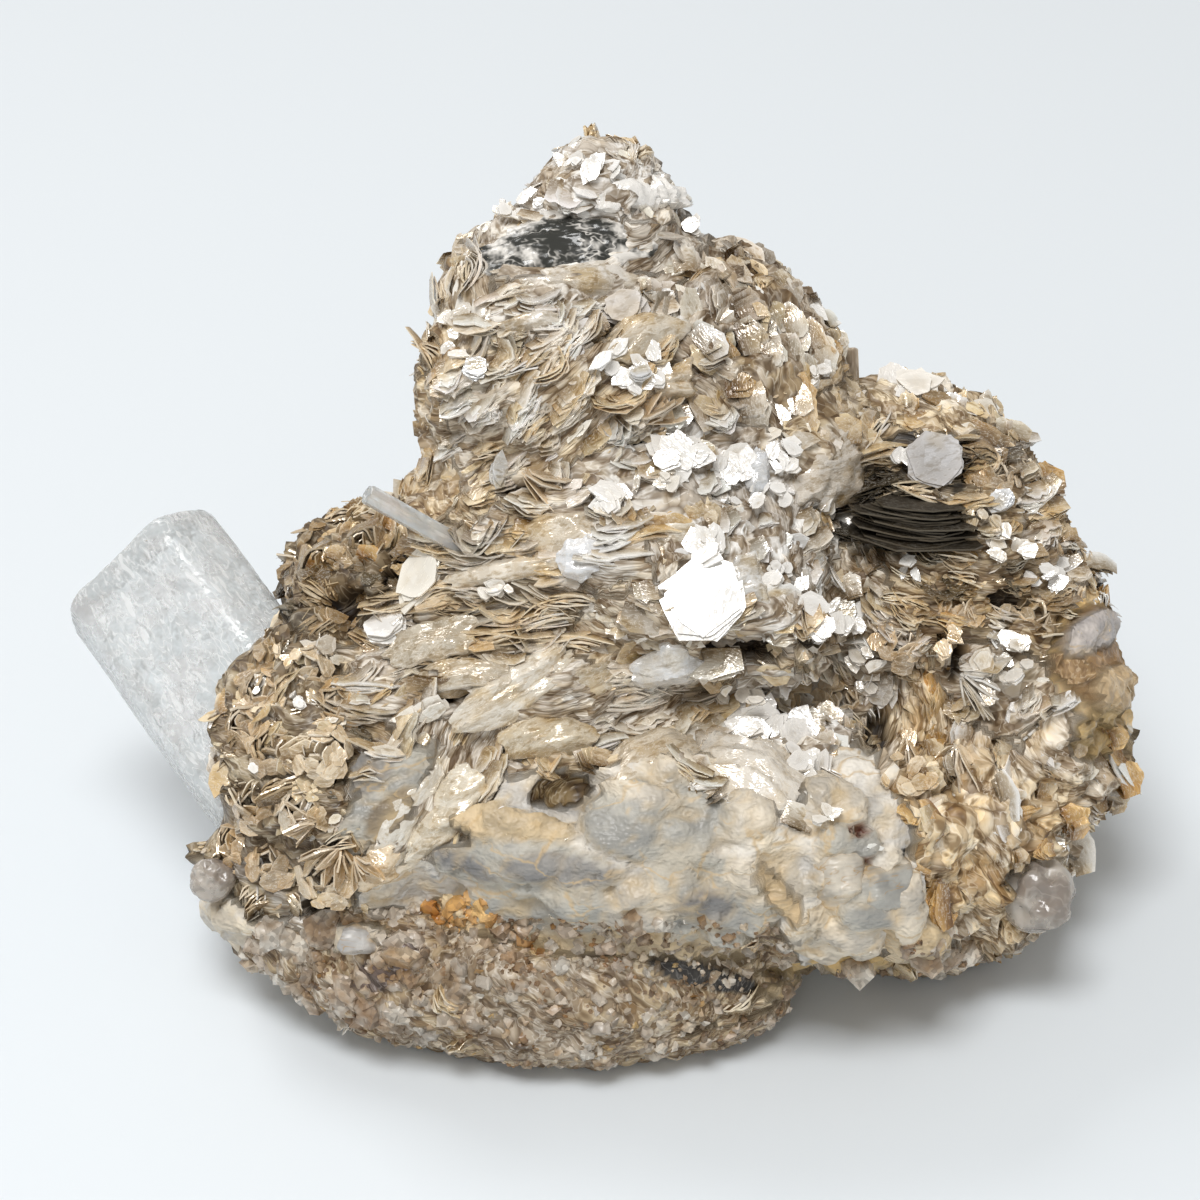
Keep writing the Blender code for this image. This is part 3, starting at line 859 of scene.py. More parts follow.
def plate_cells(numbers, total, flat, corners, rings):
    """Baking-map places of the corners of every plate's faces: one cell of a square grid
    to a plate, with its upper cap and rim on the left and its lower cap on the right."""
    side = math.ceil(math.sqrt(total))
    corner = np.stack([numbers % side, numbers // side], axis=1)[:, None, :] / side
    reach = np.clip(flat, -1.15, 1.15) / 1.15
    left, right, half = np.array([0.25, 0.5]), np.array([0.75, 0.5]), np.array([0.18, 0.36])
    upper = left + reach * half
    tris, quads, rim = plate_template(corners, rings)
    caps = np.concatenate([upper, right + reach * half], axis=1) / side + corner
    rims = np.concatenate([upper, left + reach * half * 1.28], axis=1) / side + corner
    return [caps[:, tris.ravel()], caps[:, quads.ravel()], rims[:, rim.ravel()]]


def put_bake_map(piece, parts):
    """Stores map places, face corner by face corner, as the map for baking."""
    layer = piece.data.uv_layers.new(name="OFBake")
    places = np.concatenate([part.reshape(-1, 2) for part in parts])
    layer.data.foreach_set("uv", places.astype(np.float32).ravel())


def build_plates(name, groups, finish, replaces=()):
    """One piece from groups of plates, each with its numbers of corners and rings."""
    points, sheets, tints, cells, faces = [], [], [], [], []
    total = sum(len(plates["place"]) for plates, _, _ in groups)
    start = done = 0
    for plates, corners, rings in groups:
        count = len(plates["place"])
        rng = np.random.default_rng(count + rings)
        made, sheet, flat = plate_cloud(plates, corners, rings, rng)
        each = made.shape[1]
        points.append(above_floor(made).reshape(-1, 3))
        sheets.append(sheet.reshape(-1, 3))
        # Painted light on every plate: the outer ring of each cap is painted brighter as a highlight along
        # the edge, the centre and inner ring a little darker, and the lower cap is painted at 0.55 of the
        # upper as shade on the plate's underside.
        ring = np.concatenate([[0.92], np.full(corners * (rings - 1), 0.94), np.full(corners, 1.10)])
        light = np.concatenate([ring, 0.55 * ring])
        tints.append(held(plates["tint"][:, None, :] * light[None, :, None]).reshape(-1, 3))
        cells += plate_cells(np.arange(count) + done, total, flat, corners, rings)
        faces += [repeat_faces(part, count, each) + start for part in plate_template(corners, rings)]
        start += count * each
        done += count
    piece = make_piece(name, np.vstack(points), listed(faces), finish, replaces)
    put_bake_map(piece, cells)
    put_colours(piece, "tint", np.vstack(tints))
    put_sheet(piece, np.vstack(sheets))
    put_rim(piece, faces, (0, 0, 1) * len(groups))


# ---------------------------------------------------------------- books of mica on the rock

def frames_from(facing, along):
    """Rows along, across and facing for each plate, square to one another."""
    facing = unit(facing)
    along = unit(along - (along * facing).sum(1, keepdims=True) * facing)
    return np.stack([along, np.cross(facing, along), facing], axis=1)


def turned(frames, tilt, about):
    """Frames tilted by small angles about the given unit directions, by Rodrigues' rule."""
    c, s = np.cos(tilt)[:, None, None], np.sin(tilt)[:, None, None]
    k = about[:, None, :]
    dot = (frames * k).sum(2, keepdims=True)
    return frames * c + np.cross(k, frames) * s + k * dot * (1.0 - c)


def noise_directions(points, size, seed):
    """A slowly turning direction at each place, from three soft noises."""
    return unit(np.stack([soft_noise(points, size, seed + 3 * n) for n in range(3)], axis=1))


def scatter(mesh, rng, key, back_share, share=1.0):
    """Places, rock normals, style and zone numbers of the things strewn on the rock.

    The number on each triangle follows its area times its style's number to a square
    centimetre, times the share, and times another share on the back."""
    points, normals = mesh_arrays(mesh)
    corners = triangles_of(mesh)
    a, b, c = points[corners[:, 0]], points[corners[:, 1]], points[corners[:, 2]]
    area = np.linalg.norm(np.cross(b - a, c - a), axis=1) / 2
    middle = (a + b + c) / 3
    facing = unit(np.cross(b - a, c - a))
    styles, zones = style_numbers(middle, facing)
    cover = share * per_style(key)[styles] / 100.0 * np.where(zones < 0, back_share, 1.0)
    owner = np.repeat(np.arange(len(corners)), rng.poisson(area * cover))
    u, v = rng.uniform(0, 1, (2, len(owner), 1))
    u, v = np.where(u + v > 1, 1 - u, u), np.where(u + v > 1, 1 - v, v)
    places = a[owner] + u * (b - a)[owner] + v * (c - a)[owner]
    normal = unit(normals[corners[owner]].sum(1))
    over_base, underside, clear = 1.2, -0.95, 0.6
    keep = (places[:, 2] > over_base) & (facing[owner][:, 2] > underside)
    keep &= (crystal_clearance(places) > clear) & free_of_features(places)
    return places[keep], normal[keep], styles[owner][keep], zones[owner][keep]


def picked_colours(places, styles, loose):
    """Each place's colour from its style's shares: the rank of a slow noise plus a loose
    part picks it, so neighbours tend to match."""
    mixed = 1.1 * cloud(places, 8.0, 2, seed=83) + loose
    rank = np.argsort(np.argsort(mixed)) / len(places)
    picks = (rank[:, None] > per_style("shares")[styles]).sum(1)
    return np.array(list(COLOURS.values()))[np.minimum(picks, len(COLOURS) - 1)]


def stack_books(places, normals, styles, zones, rng, size=1.0, most=9):
    """Every plate of every book.

    A book's facing is its style's facing, a slowly turning noise direction and the rock's
    own normal, mixed by the style's shares, plus a random part. Its plates lie on one
    another, each a little smaller, shifted and fanned by a few more degrees. size scales
    every length, and no book has more than most plates."""
    count = len(places)
    pull, swirl = leanings(styles, zones)
    spread = per_style("spread")[styles][:, None]
    common = style_directions("facing", styles)
    sideways = 1.0 - np.abs(normals @ OUT)[:, None]
    own = normals * (1.05 - np.minimum(pull + swirl, 1.0) + 0.6 * sideways)
    facing = unit(pull * common + swirl * noise_directions(places, 7.0, 61) + own
                  + spread * rng.normal(0, 1, (count, 3)))
    facing = np.where((facing * normals).sum(1, keepdims=True) < -0.1, -facing, facing)
    flow = style_directions("flow", styles)
    along = flow + 0.25 * rng.normal(0, 1, (count, 3)) + 0.3 * noise_directions(places, 9.0, 71)
    frame_now = frames_from(facing, along)
    low, high = per_style("length")[styles].T
    length = size * (low + (high - low) * rng.uniform(0, 1, count) ** 2.2)
    width = length * per_style("aspect")[styles] * rng.uniform(0.6, 1.15, count)
    sink = (1.0 - (facing * normals).sum(1)) * 0.40 * length + size * rng.uniform(0.0, 0.7, count)
    most = np.minimum(per_style("layers")[styles], most)
    layers = 1 + np.floor(rng.uniform(0, 1, count) * most).astype(int)
    colour = picked_colours(places, styles, rng.uniform(-0.5, 0.5, count))

    book, level = piled(layers)
    number = len(book)
    thickness = rng.uniform(0.08, 0.24, number) * np.clip(length[book] / 4.0, 0.6, 1.5)
    scale = rng.uniform(0.75, 1.0, number) ** level
    fan = turned(frame_now[book], level * rng.normal(0.0, 0.05, number), frame_now[book][:, 0])
    lift = (level * rng.uniform(0.20, 0.38, number) * np.clip(length[book] / 4.0, 0.6, 1.6))[:, None]
    shift = rng.normal(0, 0.12, (number, 2)) * length[book][:, None] * (level > 0)[:, None]
    place = (places - normals * sink[:, None])[book] + fan[:, 2] * lift
    place = place + fan[:, 0] * shift[:, :1] + fan[:, 1] * shift[:, 1:]
    tint = colour[book] * rng.uniform(0.80, 1.25, (number, 1)) * rng.uniform(0.985, 1.015, (number, 3))
    # Plates nearer the rock are painted darker, down to about 0.82 for the lowest: painted shade between the
    # stacked plates of a book.
    tint = tint * (0.82 + 0.18 * (level + 1) / layers[book])[:, None]
    curve = per_style("bend")[styles][book]
    bend, ripple = rng.normal(0, 1, number) * curve * 0.5, rng.uniform(0, 0.5, number) * curve
    length, width = length[book] * scale / 2, width[book] * scale / 2
    return plate_set(place, fan, length, width, thickness, bend, ripple, 0.42, held(tint), zone=zones[book])


def piled(counts):
    """For stacks of the given numbers of things: each thing's stack, and its level in it."""
    owner = np.repeat(np.arange(len(counts)), counts)
    first = np.concatenate([[0], np.cumsum(counts)[:-1]])
    return owner, np.arange(len(owner)) - first[owner]


def plate_set(place, frames, length, width, thickness, bend, ripple, ragged, tint, **more):
    """Arrays of many plates by name; one number may stand for all of them."""
    even = {"thickness": thickness, "bend": bend, "ripple": ripple, "ragged": ragged}
    even = {key: np.broadcast_to(value, len(place)) for key, value in even.items()}
    return {"place": place, "frame": frames, "length": length, "width": width, "tint": tint, **even, **more}


def chosen(plates, keep):
    """The plates where keep is true."""
    return {key: value[keep] for key, value in plates.items()}


def build_books(rock, finish):
    """All the scattered books, in one piece to a part of the specimen."""
    rng = np.random.default_rng(11)
    books = stack_books(*scatter(rock.data, rng, "cover", BACK_COVER, BOOK_SHARE), rng)
    shards = stack_books(*scatter(rock.data, rng, "cover", BACK_COVER, SHARD_SHARE), rng, SHARD_SIZE, 1)
    shards["width"] *= 0.7
    plates = joined([books, shards])
    part = ZONE_PIECES[plates["zone"]]
    across = plates["place"][:, 0]
    for number, name in enumerate(PIECES):
        here = part == number
        shares = [(name, here)]
        if name == "mica_back":
            edges = np.quantile(across[here], [0.33, 0.67])
            thirds = np.digitize(across, edges)
            shares = [(f"{name}_{side}", here & (thirds == k))
                      for k, side in enumerate(("left", "middle", "right"))]
        for title, mine in shares:
            large, small = plates["length"] > LARGE_PLATE, plates["length"] < SMALL_PLATE
            groups = [(chosen(plates, mine & large), 8, 2), (chosen(plates, mine & ~large & ~small), 7, 1),
                      (chosen(plates, mine & small), 5, 1)]
            build_plates(title, [g for g in groups if len(g[0]["place"])], finish)


# ---------------------------------------------------------------- bent sheaves seen on edge

STATIONS = 7


def sheaf_faces():
    """Faces of one layer: upper, lower and front bands along its stations, and two ends.
    Its points go station by station as front upper, front lower, back."""
    here = np.arange(STATIONS - 1) * 3
    after = here + 3
    upper = np.stack([here + 2, after + 2, after, here], axis=1)
    lower = np.stack([here + 1, after + 1, after + 2, here + 2], axis=1)
    front = np.stack([here, after, after + 1, here + 1], axis=1)
    last = (STATIONS - 1) * 3
    ends = np.array([[2, 0, 1], [last + 2, last + 1, last]])
    return np.vstack([upper, lower]), front, ends


def sheaf_cells(count):
    """Baking-map places for the faces of every layer: the section unrolled upwards and
    the length to the right, one cell of a square grid to a layer."""
    side = math.ceil(math.sqrt(count))
    number = np.arange(count)
    corner = np.stack([number % side, number // side], axis=1)[:, None, :]
    across = np.repeat(np.linspace(0.08, 0.92, STATIONS), 3)
    first = np.stack([across, np.tile([0.45, 0.58, 0.04], STATIONS)], axis=1)
    second = np.stack([across, np.tile([0.45, 0.58, 0.96], STATIONS)], axis=1)
    bands, front, _ = sheaf_faces()
    half = len(bands) // 2
    end_map = np.array([[0.01, 0.45], [0.06, 0.45], [0.06, 0.58], [0.99, 0.58], [0.94, 0.58], [0.94, 0.45]])
    parts = [np.vstack([first[bands[:half].ravel()], second[bands[half:].ravel()]]),
             first[front.ravel()], end_map]
    return [(part[None] + corner) / side for part in parts]


def sheaf_cloud(layers, rng):
    """Points of every layer, each a bent strip with a wedge-shaped section.

    At a place x from -1 to 1 along it, a layer's height through the stack is its level
    times the stack's half height times (1 - pinch x squared), plus bend x squared, plus a
    small sine; it reaches out by its depth times (1 - 0.8 x squared) to the power 0.6,
    varied station by station."""
    count = len(layers["place"])
    x = np.linspace(-1.0, 1.0, STATIONS)[None, :] + rng.normal(0, 0.03, (count, STATIONS))
    phase = rng.uniform(0, 2 * math.pi, (count, 1))
    slide = rng.normal(0, 0.16, (count, 1)) * layers["length"][:, None]
    flat = x ** 2
    middle = layers["level"][:, None] * layers["stack"][:, None] * (1 - layers["pinch"][:, None] * flat)
    middle = middle + layers["bend"][:, None] * flat + 0.12 * np.sin(2.5 * x + phase)
    reach = layers["depth"][:, None] * np.maximum(1 - 0.8 * flat, 0.05) ** 0.6
    reach = reach * (1 + 0.16 * rng.normal(0, 1, (count, STATIONS)))
    half = layers["thickness"][:, None] / 2 * np.maximum(1 - 0.6 * flat, 0.1)
    length = x * layers["length"][:, None] + slide
    local = np.stack([
        np.stack([length, reach, middle + half], axis=2),
        np.stack([length, reach * 0.96, middle - half], axis=2),
        np.stack([length * 0.9, 0 * reach - layers["depth"][:, None], middle], axis=2),
    ], axis=2).reshape(count, -1, 3)
    return np.einsum("nki,nij->nkj", local, layers["frame"]) + layers["place"][:, None, :], local


def grow_sheaves(places, normals, styles, zones, rng):
    """Every layer of every sheaf, from the sheaves' places on the rock."""
    count = len(places)
    pull, swirl = leanings(styles, zones)
    facing = unit((pull + 0.3) * style_directions("facing", styles)
                  + 0.8 * swirl * noise_directions(places, 9.0, 61) + 0.15 * rng.normal(0, 1, (count, 3)))
    flow = style_directions("flow", styles)
    frame_now = frames_from(facing, flow + 0.35 * noise_directions(places, 10.0, 71))
    inward = (frame_now[:, 1] * normals).sum(1) < 0
    frame_now[inward, :2] *= -1.0
    low, high = per_style("length")[styles].T
    length = np.maximum(low, 3.0) + (high - low) * rng.uniform(0, 1, count) ** 1.3
    length = length * np.where(np.abs(normals @ OUT) < 0.45, 0.5, 1.0)
    number = rng.integers(4, 9, count)
    colour = picked_colours(places, styles, rng.uniform(-0.5, 0.5, count))

    owner, level = piled(number)
    level = level / (number[owner] - 1) * 2.0 - 1.0
    total = len(owner)
    shade = rng.uniform(0.66, 1.24, (total, 1)) * rng.uniform(0.985, 1.015, (total, 3))
    frames = turned(frame_now[owner], rng.normal(0, 0.09, total), frame_now[owner][:, 1])
    return {
        "place": (places - normals * 0.4)[owner], "frame": frames, "level": level,
        "stack": (rng.uniform(0.09, 0.15, count) * number)[owner],
        "length": (length * 0.58)[owner] * rng.uniform(0.4, 1.0, total),
        "depth": rng.uniform(1.0, 2.0, count)[owner] * rng.uniform(0.7, 1.15, total),
        "thickness": rng.uniform(0.15, 0.34, total), "pinch": rng.uniform(0.15, 0.75, count)[owner],
        "bend": (rng.normal(0, 1.0, count) * length * 0.13)[owner],
        "tint": held(colour[owner] * shade), "zone": zones[owner],
    }


def build_sheaves(rock, finish):
    """The bent sheaves in three pieces: upper front, lower front, and the rest."""
    rng = np.random.default_rng(23)
    places, normals, styles, zones = scatter(rock.data, rng, "sheaves", BACK_SHEAVES)
    layers = grow_sheaves(places, normals, styles, zones, rng)
    height = layers["place"] @ UP
    back = layers["zone"] < 0
    upper = height > UPPER_PART
    shares = {"sheaves_upper": ~back & upper, "sheaves_lower": ~back & ~upper, "sheaves_back": back}
    for name, mine in shares.items():
        own = chosen(layers, mine)
        count = len(own["place"])
        points, sheet = sheaf_cloud(own, rng)
        each = points.shape[1]
        parts = [repeat_faces(template, count, each) for template in sheaf_faces()]
        piece = make_piece(name, above_floor(points).reshape(-1, 3), listed(parts), finish)
        put_bake_map(piece, sheaf_cells(count))
        # Painted light on each layer: its front upper edge is painted brighter as a highlight, its front
        # lower edge a little darker, and its buried back dark brown as shade in the gaps between the layers.
        light = np.tile([[1.15, 1.15, 1.15], [0.88, 0.85, 0.81], [0.32, 0.24, 0.14]], (STATIONS, 1))[None]
        put_colours(piece, "tint", held(own["tint"][:, None, :] * light).reshape(-1, 3))
        put_sheet(piece, sheet + rng.uniform(0, 200, (count, 1, 3)))
        put_rim(piece, parts, (0, 1, 1))


# ---------------------------------------------------------------- large sheets and lumps

PATCH_U, PATCH_V = 28, 20


def patch_grid():
    """Places from -1 to 1 over a square, pushed part of the way to a disc.

    The disc's x is u times the root of (1 - v squared / 2), and its y the same with u and
    v changed over."""
    u, v = np.meshgrid(np.linspace(-1, 1, PATCH_U), np.linspace(-1, 1, PATCH_V), indexing="ij")
    u, v = u.ravel(), v.ravel()
    return u, v, u * np.sqrt(1 - v ** 2 / 2), v * np.sqrt(1 - u ** 2 / 2)


def patch_faces():
    """Upper grid, lower grid and rim of a closed sheet; the lower points follow the upper."""
    upper = grid_faces(PATCH_U, PATCH_V)
    lower = upper[:, ::-1] + PATCH_U * PATCH_V
    first, last = np.arange(PATCH_U) * PATCH_V, np.arange(PATCH_U) * PATCH_V + PATCH_V - 1
    loop = np.concatenate([first, np.arange(last[-1] - PATCH_V + 2, last[-1] + 1), last[-2::-1],
                           np.arange(PATCH_V - 2, 0, -1)])
    after = np.roll(loop, -1)
    under = PATCH_U * PATCH_V
    rim = np.stack([loop, loop + under, after + under, after], axis=1)
    return np.vstack([upper, lower]), rim


def patch_points(row, seed):
    """Upper and lower points of a sheet, with its own flat places in millimetres.

    Its four view corners are set on the rock and joined by the usual two-way blend.
    Its outline is that of a polygon with broken sides, wobbled by a few sines. The surface
    rises by bulge times (1 - u squared)(1 - v squared), by ripple times a noise drawn out
    along its grain, and by step times a sawtooth across the grain; noise roughens it."""
    rng = np.random.default_rng(seed)
    u, v, x, y = patch_grid()
    angle = np.arctan2(y, x)
    headings = (np.arange(row["sides"]) + rng.normal(0, 0.22, row["sides"])) * 2 * math.pi / row["sides"]
    gaps = rng.uniform(0.80, 1.08, row["sides"])
    facing = np.maximum(np.cos(angle[:, None] - headings[None, :]), 0.0) / gaps[None, :]
    outline = (facing ** row["sharpness"]).sum(1) ** (-1.0 / row["sharpness"])
    wobble = sum(rng.normal(0, 1) * np.sin((2 * n + 3) * angle + rng.uniform(0, 6.3)) / (n + 2)
                 for n in range(9))
    reach = outline * (1 + row["ragged"] * wobble)
    x, y = x * reach, y * reach
    corners = np.array(row["corners"], float)
    low_left, low_right, top_right, top_left = on_rock(corners[:, 0], corners[:, 1], row["lift"])
    s, t = (x[:, None] + 1) / 2, (y[:, None] + 1) / 2
    base = (low_left * (1 - s) + low_right * s) * (1 - t) + (top_left * (1 - s) + top_right * s) * t
    rightward = low_right - low_left + top_right - top_left
    upward = top_left - low_left + top_right - low_right
    normal = unit(np.cross(rightward, upward))
    width, tall = np.linalg.norm(rightward) / 2, np.linalg.norm(upward) / 2
    flat = np.stack([x * width / 2, y * tall / 2], axis=1)
    rise = row["bulge"] * (1 - np.clip(u ** 2, 0, 1)) * (1 - np.clip(v ** 2, 0, 1))
    grain = math.radians(row["grain"])
    flat = flat @ np.array([[math.cos(grain), -math.sin(grain)], [math.sin(grain), math.cos(grain)]])
    flat = flat + 0.8 * np.stack([soft_noise(base, 6.0, seed), soft_noise(base, 6.0, seed + 1)], axis=1)
    lines = np.stack([flat[:, 0] / 12.0, flat[:, 1] / row["wave"] * 2.0, 0 * u], axis=1)
    rise += row["ripple"] * soft_noise(lines, 1.0, seed + 3)
    rise += 0.5 * row["ripple"] * soft_noise(lines, 0.45, seed + 4)
    ledges = sawtooth(flat[:, 1] / row["wave"] * 0.5 + soft_noise(base, 7.0, seed + 5))
    rise += row["step"] * (ledges - 0.5)
    rise += row["rough"] * cloud(base, 2.6, 3, seed + 2)
    rise -= row["sink"] * smoothstep(0.45, 1.0, np.maximum(np.abs(u), np.abs(v)))
    upper = base + normal * rise[:, None]
    edge = np.maximum(np.abs(u), np.abs(v)) ** 6
    lower = base + normal * (rise - row["thickness"] * (1 - 0.5 * edge))[:, None]
    sheet = np.hstack([flat, rise[:, None]])
    return np.vstack([upper, lower]), np.vstack([sheet, sheet - [0, 0, row["thickness"]]]), u, v


def patch(corners, tint, lift=1.3, bulge=0.5, ripple=0.30, wave=1.5, step=0.45, rough=0.45, grain=0.0,
          thickness=1.0, ragged=0.11, sides=7, sharpness=18.0, sink=0.8):
    """One row of the table of sheets. corners: view places, lower left first, then
    anticlockwise. lift: mm off the rock. grain: turn of the lines, degrees. sides and
    sharpness: of the outline. sink: how far the edge drops, mm."""
    return {"corners": corners, "tint": tint, "lift": lift, "bulge": bulge, "ripple": ripple, "wave": wave,
            "step": step, "rough": rough, "grain": grain, "thickness": thickness, "ragged": ragged,
            "sides": sides, "sharpness": sharpness, "sink": sink}


def lump(corners, tint, lift=1.3, bulge=2.0, ripple=0.25, rough=0.9, grain=0.0, step=0.0):
    """One row of the table of rounded lumps: a thick sheet whose edge drops into the rock."""
    return patch(corners, tint, lift, bulge, ripple, 2.4, step, rough, grain, 1.6, 0.05, 8, 7.0, lift + 1.6)


def build_patches(name, rows, finish, seed, replaces=()):
    """All the sheets of one table as one piece."""
    each = 2 * PATCH_U * PATCH_V
    points, sheets, tints, edges = [], [], [], []
    for number, row in enumerate(rows):
        made, sheet, u, v = patch_points(row, seed + 31 * number)
        points.append(made)
        sheets.append(sheet + 40.0 * number)
        tints.append(np.tile(row["tint"], (each, 1)))
        edges.append(np.tile(np.maximum(np.abs(u), np.abs(v)), 2))
    faces = [repeat_faces(template, len(rows), each) for template in patch_faces()]
    placed = above_floor(np.vstack(points))
    piece = make_piece(name, placed, np.vstack(faces), finish, replaces, sharp=50.0)
    put_colours(piece, "tint", np.vstack(tints))
    put_sheet(piece, np.vstack(sheets))
    put_rim(piece, faces, (0, 1))
    put_attribute(piece, "edge", "FLOAT", np.concatenate(edges))


def features_of(rows):
    """Centre, half sizes, turn and reach of each sheet, to keep loose plates off it."""
    found = []
    for row in rows:
        corners = np.array(row["corners"], float)
        centre = corners.mean(0)
        along = (corners[1] + corners[2] - corners[0] - corners[3]) / 4
        over = (corners[2] + corners[3] - corners[0] - corners[1]) / 4
        turn = math.degrees(math.atan2(-along[1], along[0]))
        reach = float(seen_at(*centre)) + row["lift"]
        found.append((centre[0], centre[1], np.linalg.norm(along), np.linalg.norm(over), turn, reach))
    return found


# ---------------------------------------------------------------- chosen plates

def plate(x, y, half_length, half_width, turn, facing, tint, lift=1.5, layers=3, thickness=0.3, bend=0.05,
          ragged=0.35):
    """One row of the table of chosen books: view place, half sizes in view units,
    turn in degrees, facing in across, up and out."""
    return {"at": (x, y), "size": (half_length * UNIT, half_width * UNIT), "turn": turn, "facing": facing,
            "tint": tint, "lift": lift, "layers": layers, "thickness": thickness, "bend": bend,
            "ragged": ragged}


def cluster_rows(clusters, rng):
    """Rows of uneven plates lying close together over small ellipses of the view, each
    tilted its own way by a little."""
    rows = []
    for x, y, wide, tall, count, size, tint in clusters:
        for _ in range(count):
            angle, share = rng.uniform(0, 2 * math.pi), math.sqrt(rng.uniform())
            place = x + wide * share * math.cos(angle), y + tall * share * math.sin(angle)
            half = size * rng.uniform(0.6, 1.15)
            width, turn = half * rng.uniform(0.5, 0.9), rng.uniform(0, 180)
            facing = FRONT_FACING + 0.22 * rng.normal(0, 1, 3)
            shade = np.array(tint) * rng.uniform(0.9, 1.03)
            rows.append(plate(*place, half, width, turn, facing, shade, lift=rng.uniform(0.7, 1.8), layers=2,
                              thickness=0.25, bend=rng.normal(0, 0.08), ragged=0.45))
    return rows


def spread_books(rows, rng):
    """Every plate of the chosen books; lower plates are a little larger and shifted."""
    parts = []
    for row in rows:
        top = row["place"] if "place" in row else on_rock(*row["at"], row["lift"])
        facing = unit(unit(row["facing"]) @ LAYOUT + 0.06 * rng.normal(0, 1, 3))
        turn = math.radians(row["turn"])
        along = math.cos(turn) * ACROSS + math.sin(turn) * UP
        frame_now = frames_from(facing[None], along[None])[0]
        for level in range(row["layers"]):
            slide = rng.normal(0, 0.05, 2) * row["size"][0] * (level > 0)
            place = top - facing * level * row["thickness"] * 1.35 + slide @ frame_now[:2]
            size = np.array(row["size"]) * (1.0 + 0.035 * level * rng.uniform(0.3, 1.3))
            tint = held(np.array(row["tint"]) * rng.uniform(0.93, 1.03))
            parts.append(plate_set(place[None], frame_now[None], size[:1], size[1:], row["thickness"],
                                   row["bend"], 0.01, row["ragged"], tint[None]))
    return joined(parts)


def plate_features(rows):
    """Centre, half sizes, turn and reach of each chosen book, as features_of gives them."""
    found = []
    for row in rows:
        if "place" in row:
            x, y, reach = (float(v[0]) for v in to_view(np.array([row["place"]])))
        else:
            x, y = row["at"]
            reach = float(seen_at(x, y)) + row["lift"]
        long_side, short_side = row["size"][0] / UNIT, row["size"][1] / UNIT
        found.append((x, y, long_side, short_side, row["turn"], reach))
    return found


def rosette_plates(rows, rng):
    """Petals of the rosettes: petal n stands at n golden angles round the middle and at the
    radius times the root of its share; inner petals stand on edge, outer ones lean back."""
    parts = []
    for x, y, radius, petals, facing, tint in rows:
        n = np.arange(petals)
        share = np.sqrt((n + 0.5) / petals)
        angle = n * math.pi * (3 - math.sqrt(5)) + rng.normal(0, 0.15, petals)
        axis = unit(facing) @ LAYOUT
        first = unit(np.cross(UP, axis))
        second = np.cross(axis, first)
        outward = heading(angle, first, second)
        place = on_rock(x, y, 0.8) + outward * (share * radius)[:, None]
        place = place - axis * (share ** 2 * radius * 0.5)[:, None]
        face = unit(axis * (0.15 + 0.52 * share)[:, None] + outward * (0.85 - 0.35 * share)[:, None]
                    + 0.12 * rng.normal(0, 1, (petals, 3)))
        length = rng.uniform(1.3, 2.3, petals) * (0.6 + 0.4 * share)
        shade = rng.uniform(0.62, 1.12, (petals, 1))
        width = length * rng.uniform(0.6, 0.95, petals)
        thickness = rng.uniform(0.14, 0.34, petals)
        bend = rng.uniform(-0.25, 0.05, petals)
        frames = frames_from(face, np.cross(axis, outward))
        parts.append(plate_set(place, frames, length, width, thickness, bend, 0.03, 0.30,
                               held(np.array(tint) * shade)))
    return joined(parts)


def fan_plates(rows, rng):
    """Blades of the fans: each leaves the middle along its own heading in the view, and
    stands nearly on edge."""
    parts = []
    for x, y, start, end, count, reach, tint in rows:
        angle = np.radians(np.linspace(start, end, count) + rng.normal(0, 9.0, count))
        along = heading(angle, ACROSS, UP) + 0.15 * OUT
        face = heading(angle, UP, -ACROSS) + rng.normal(0.45, 0.2, (count, 1)) * OUT
        length = reach / 2 * rng.uniform(0.45, 1.0, count)
        place = on_rock(x, y, 1.0) + unit(along) * length[:, None] + OUT * rng.normal(0, 0.5, (count, 1))
        shade = rng.uniform(0.7, 1.15, (count, 1))
        width = length * rng.uniform(0.30, 0.5, count)
        thickness = rng.uniform(0.12, 0.30, count)
        bend = rng.normal(0, 0.12, count)
        parts.append(plate_set(place, frames_from(face, along), length, width, thickness, bend, 0.02, 0.35,
                               held(np.array(tint) * shade)))
    return joined(parts)


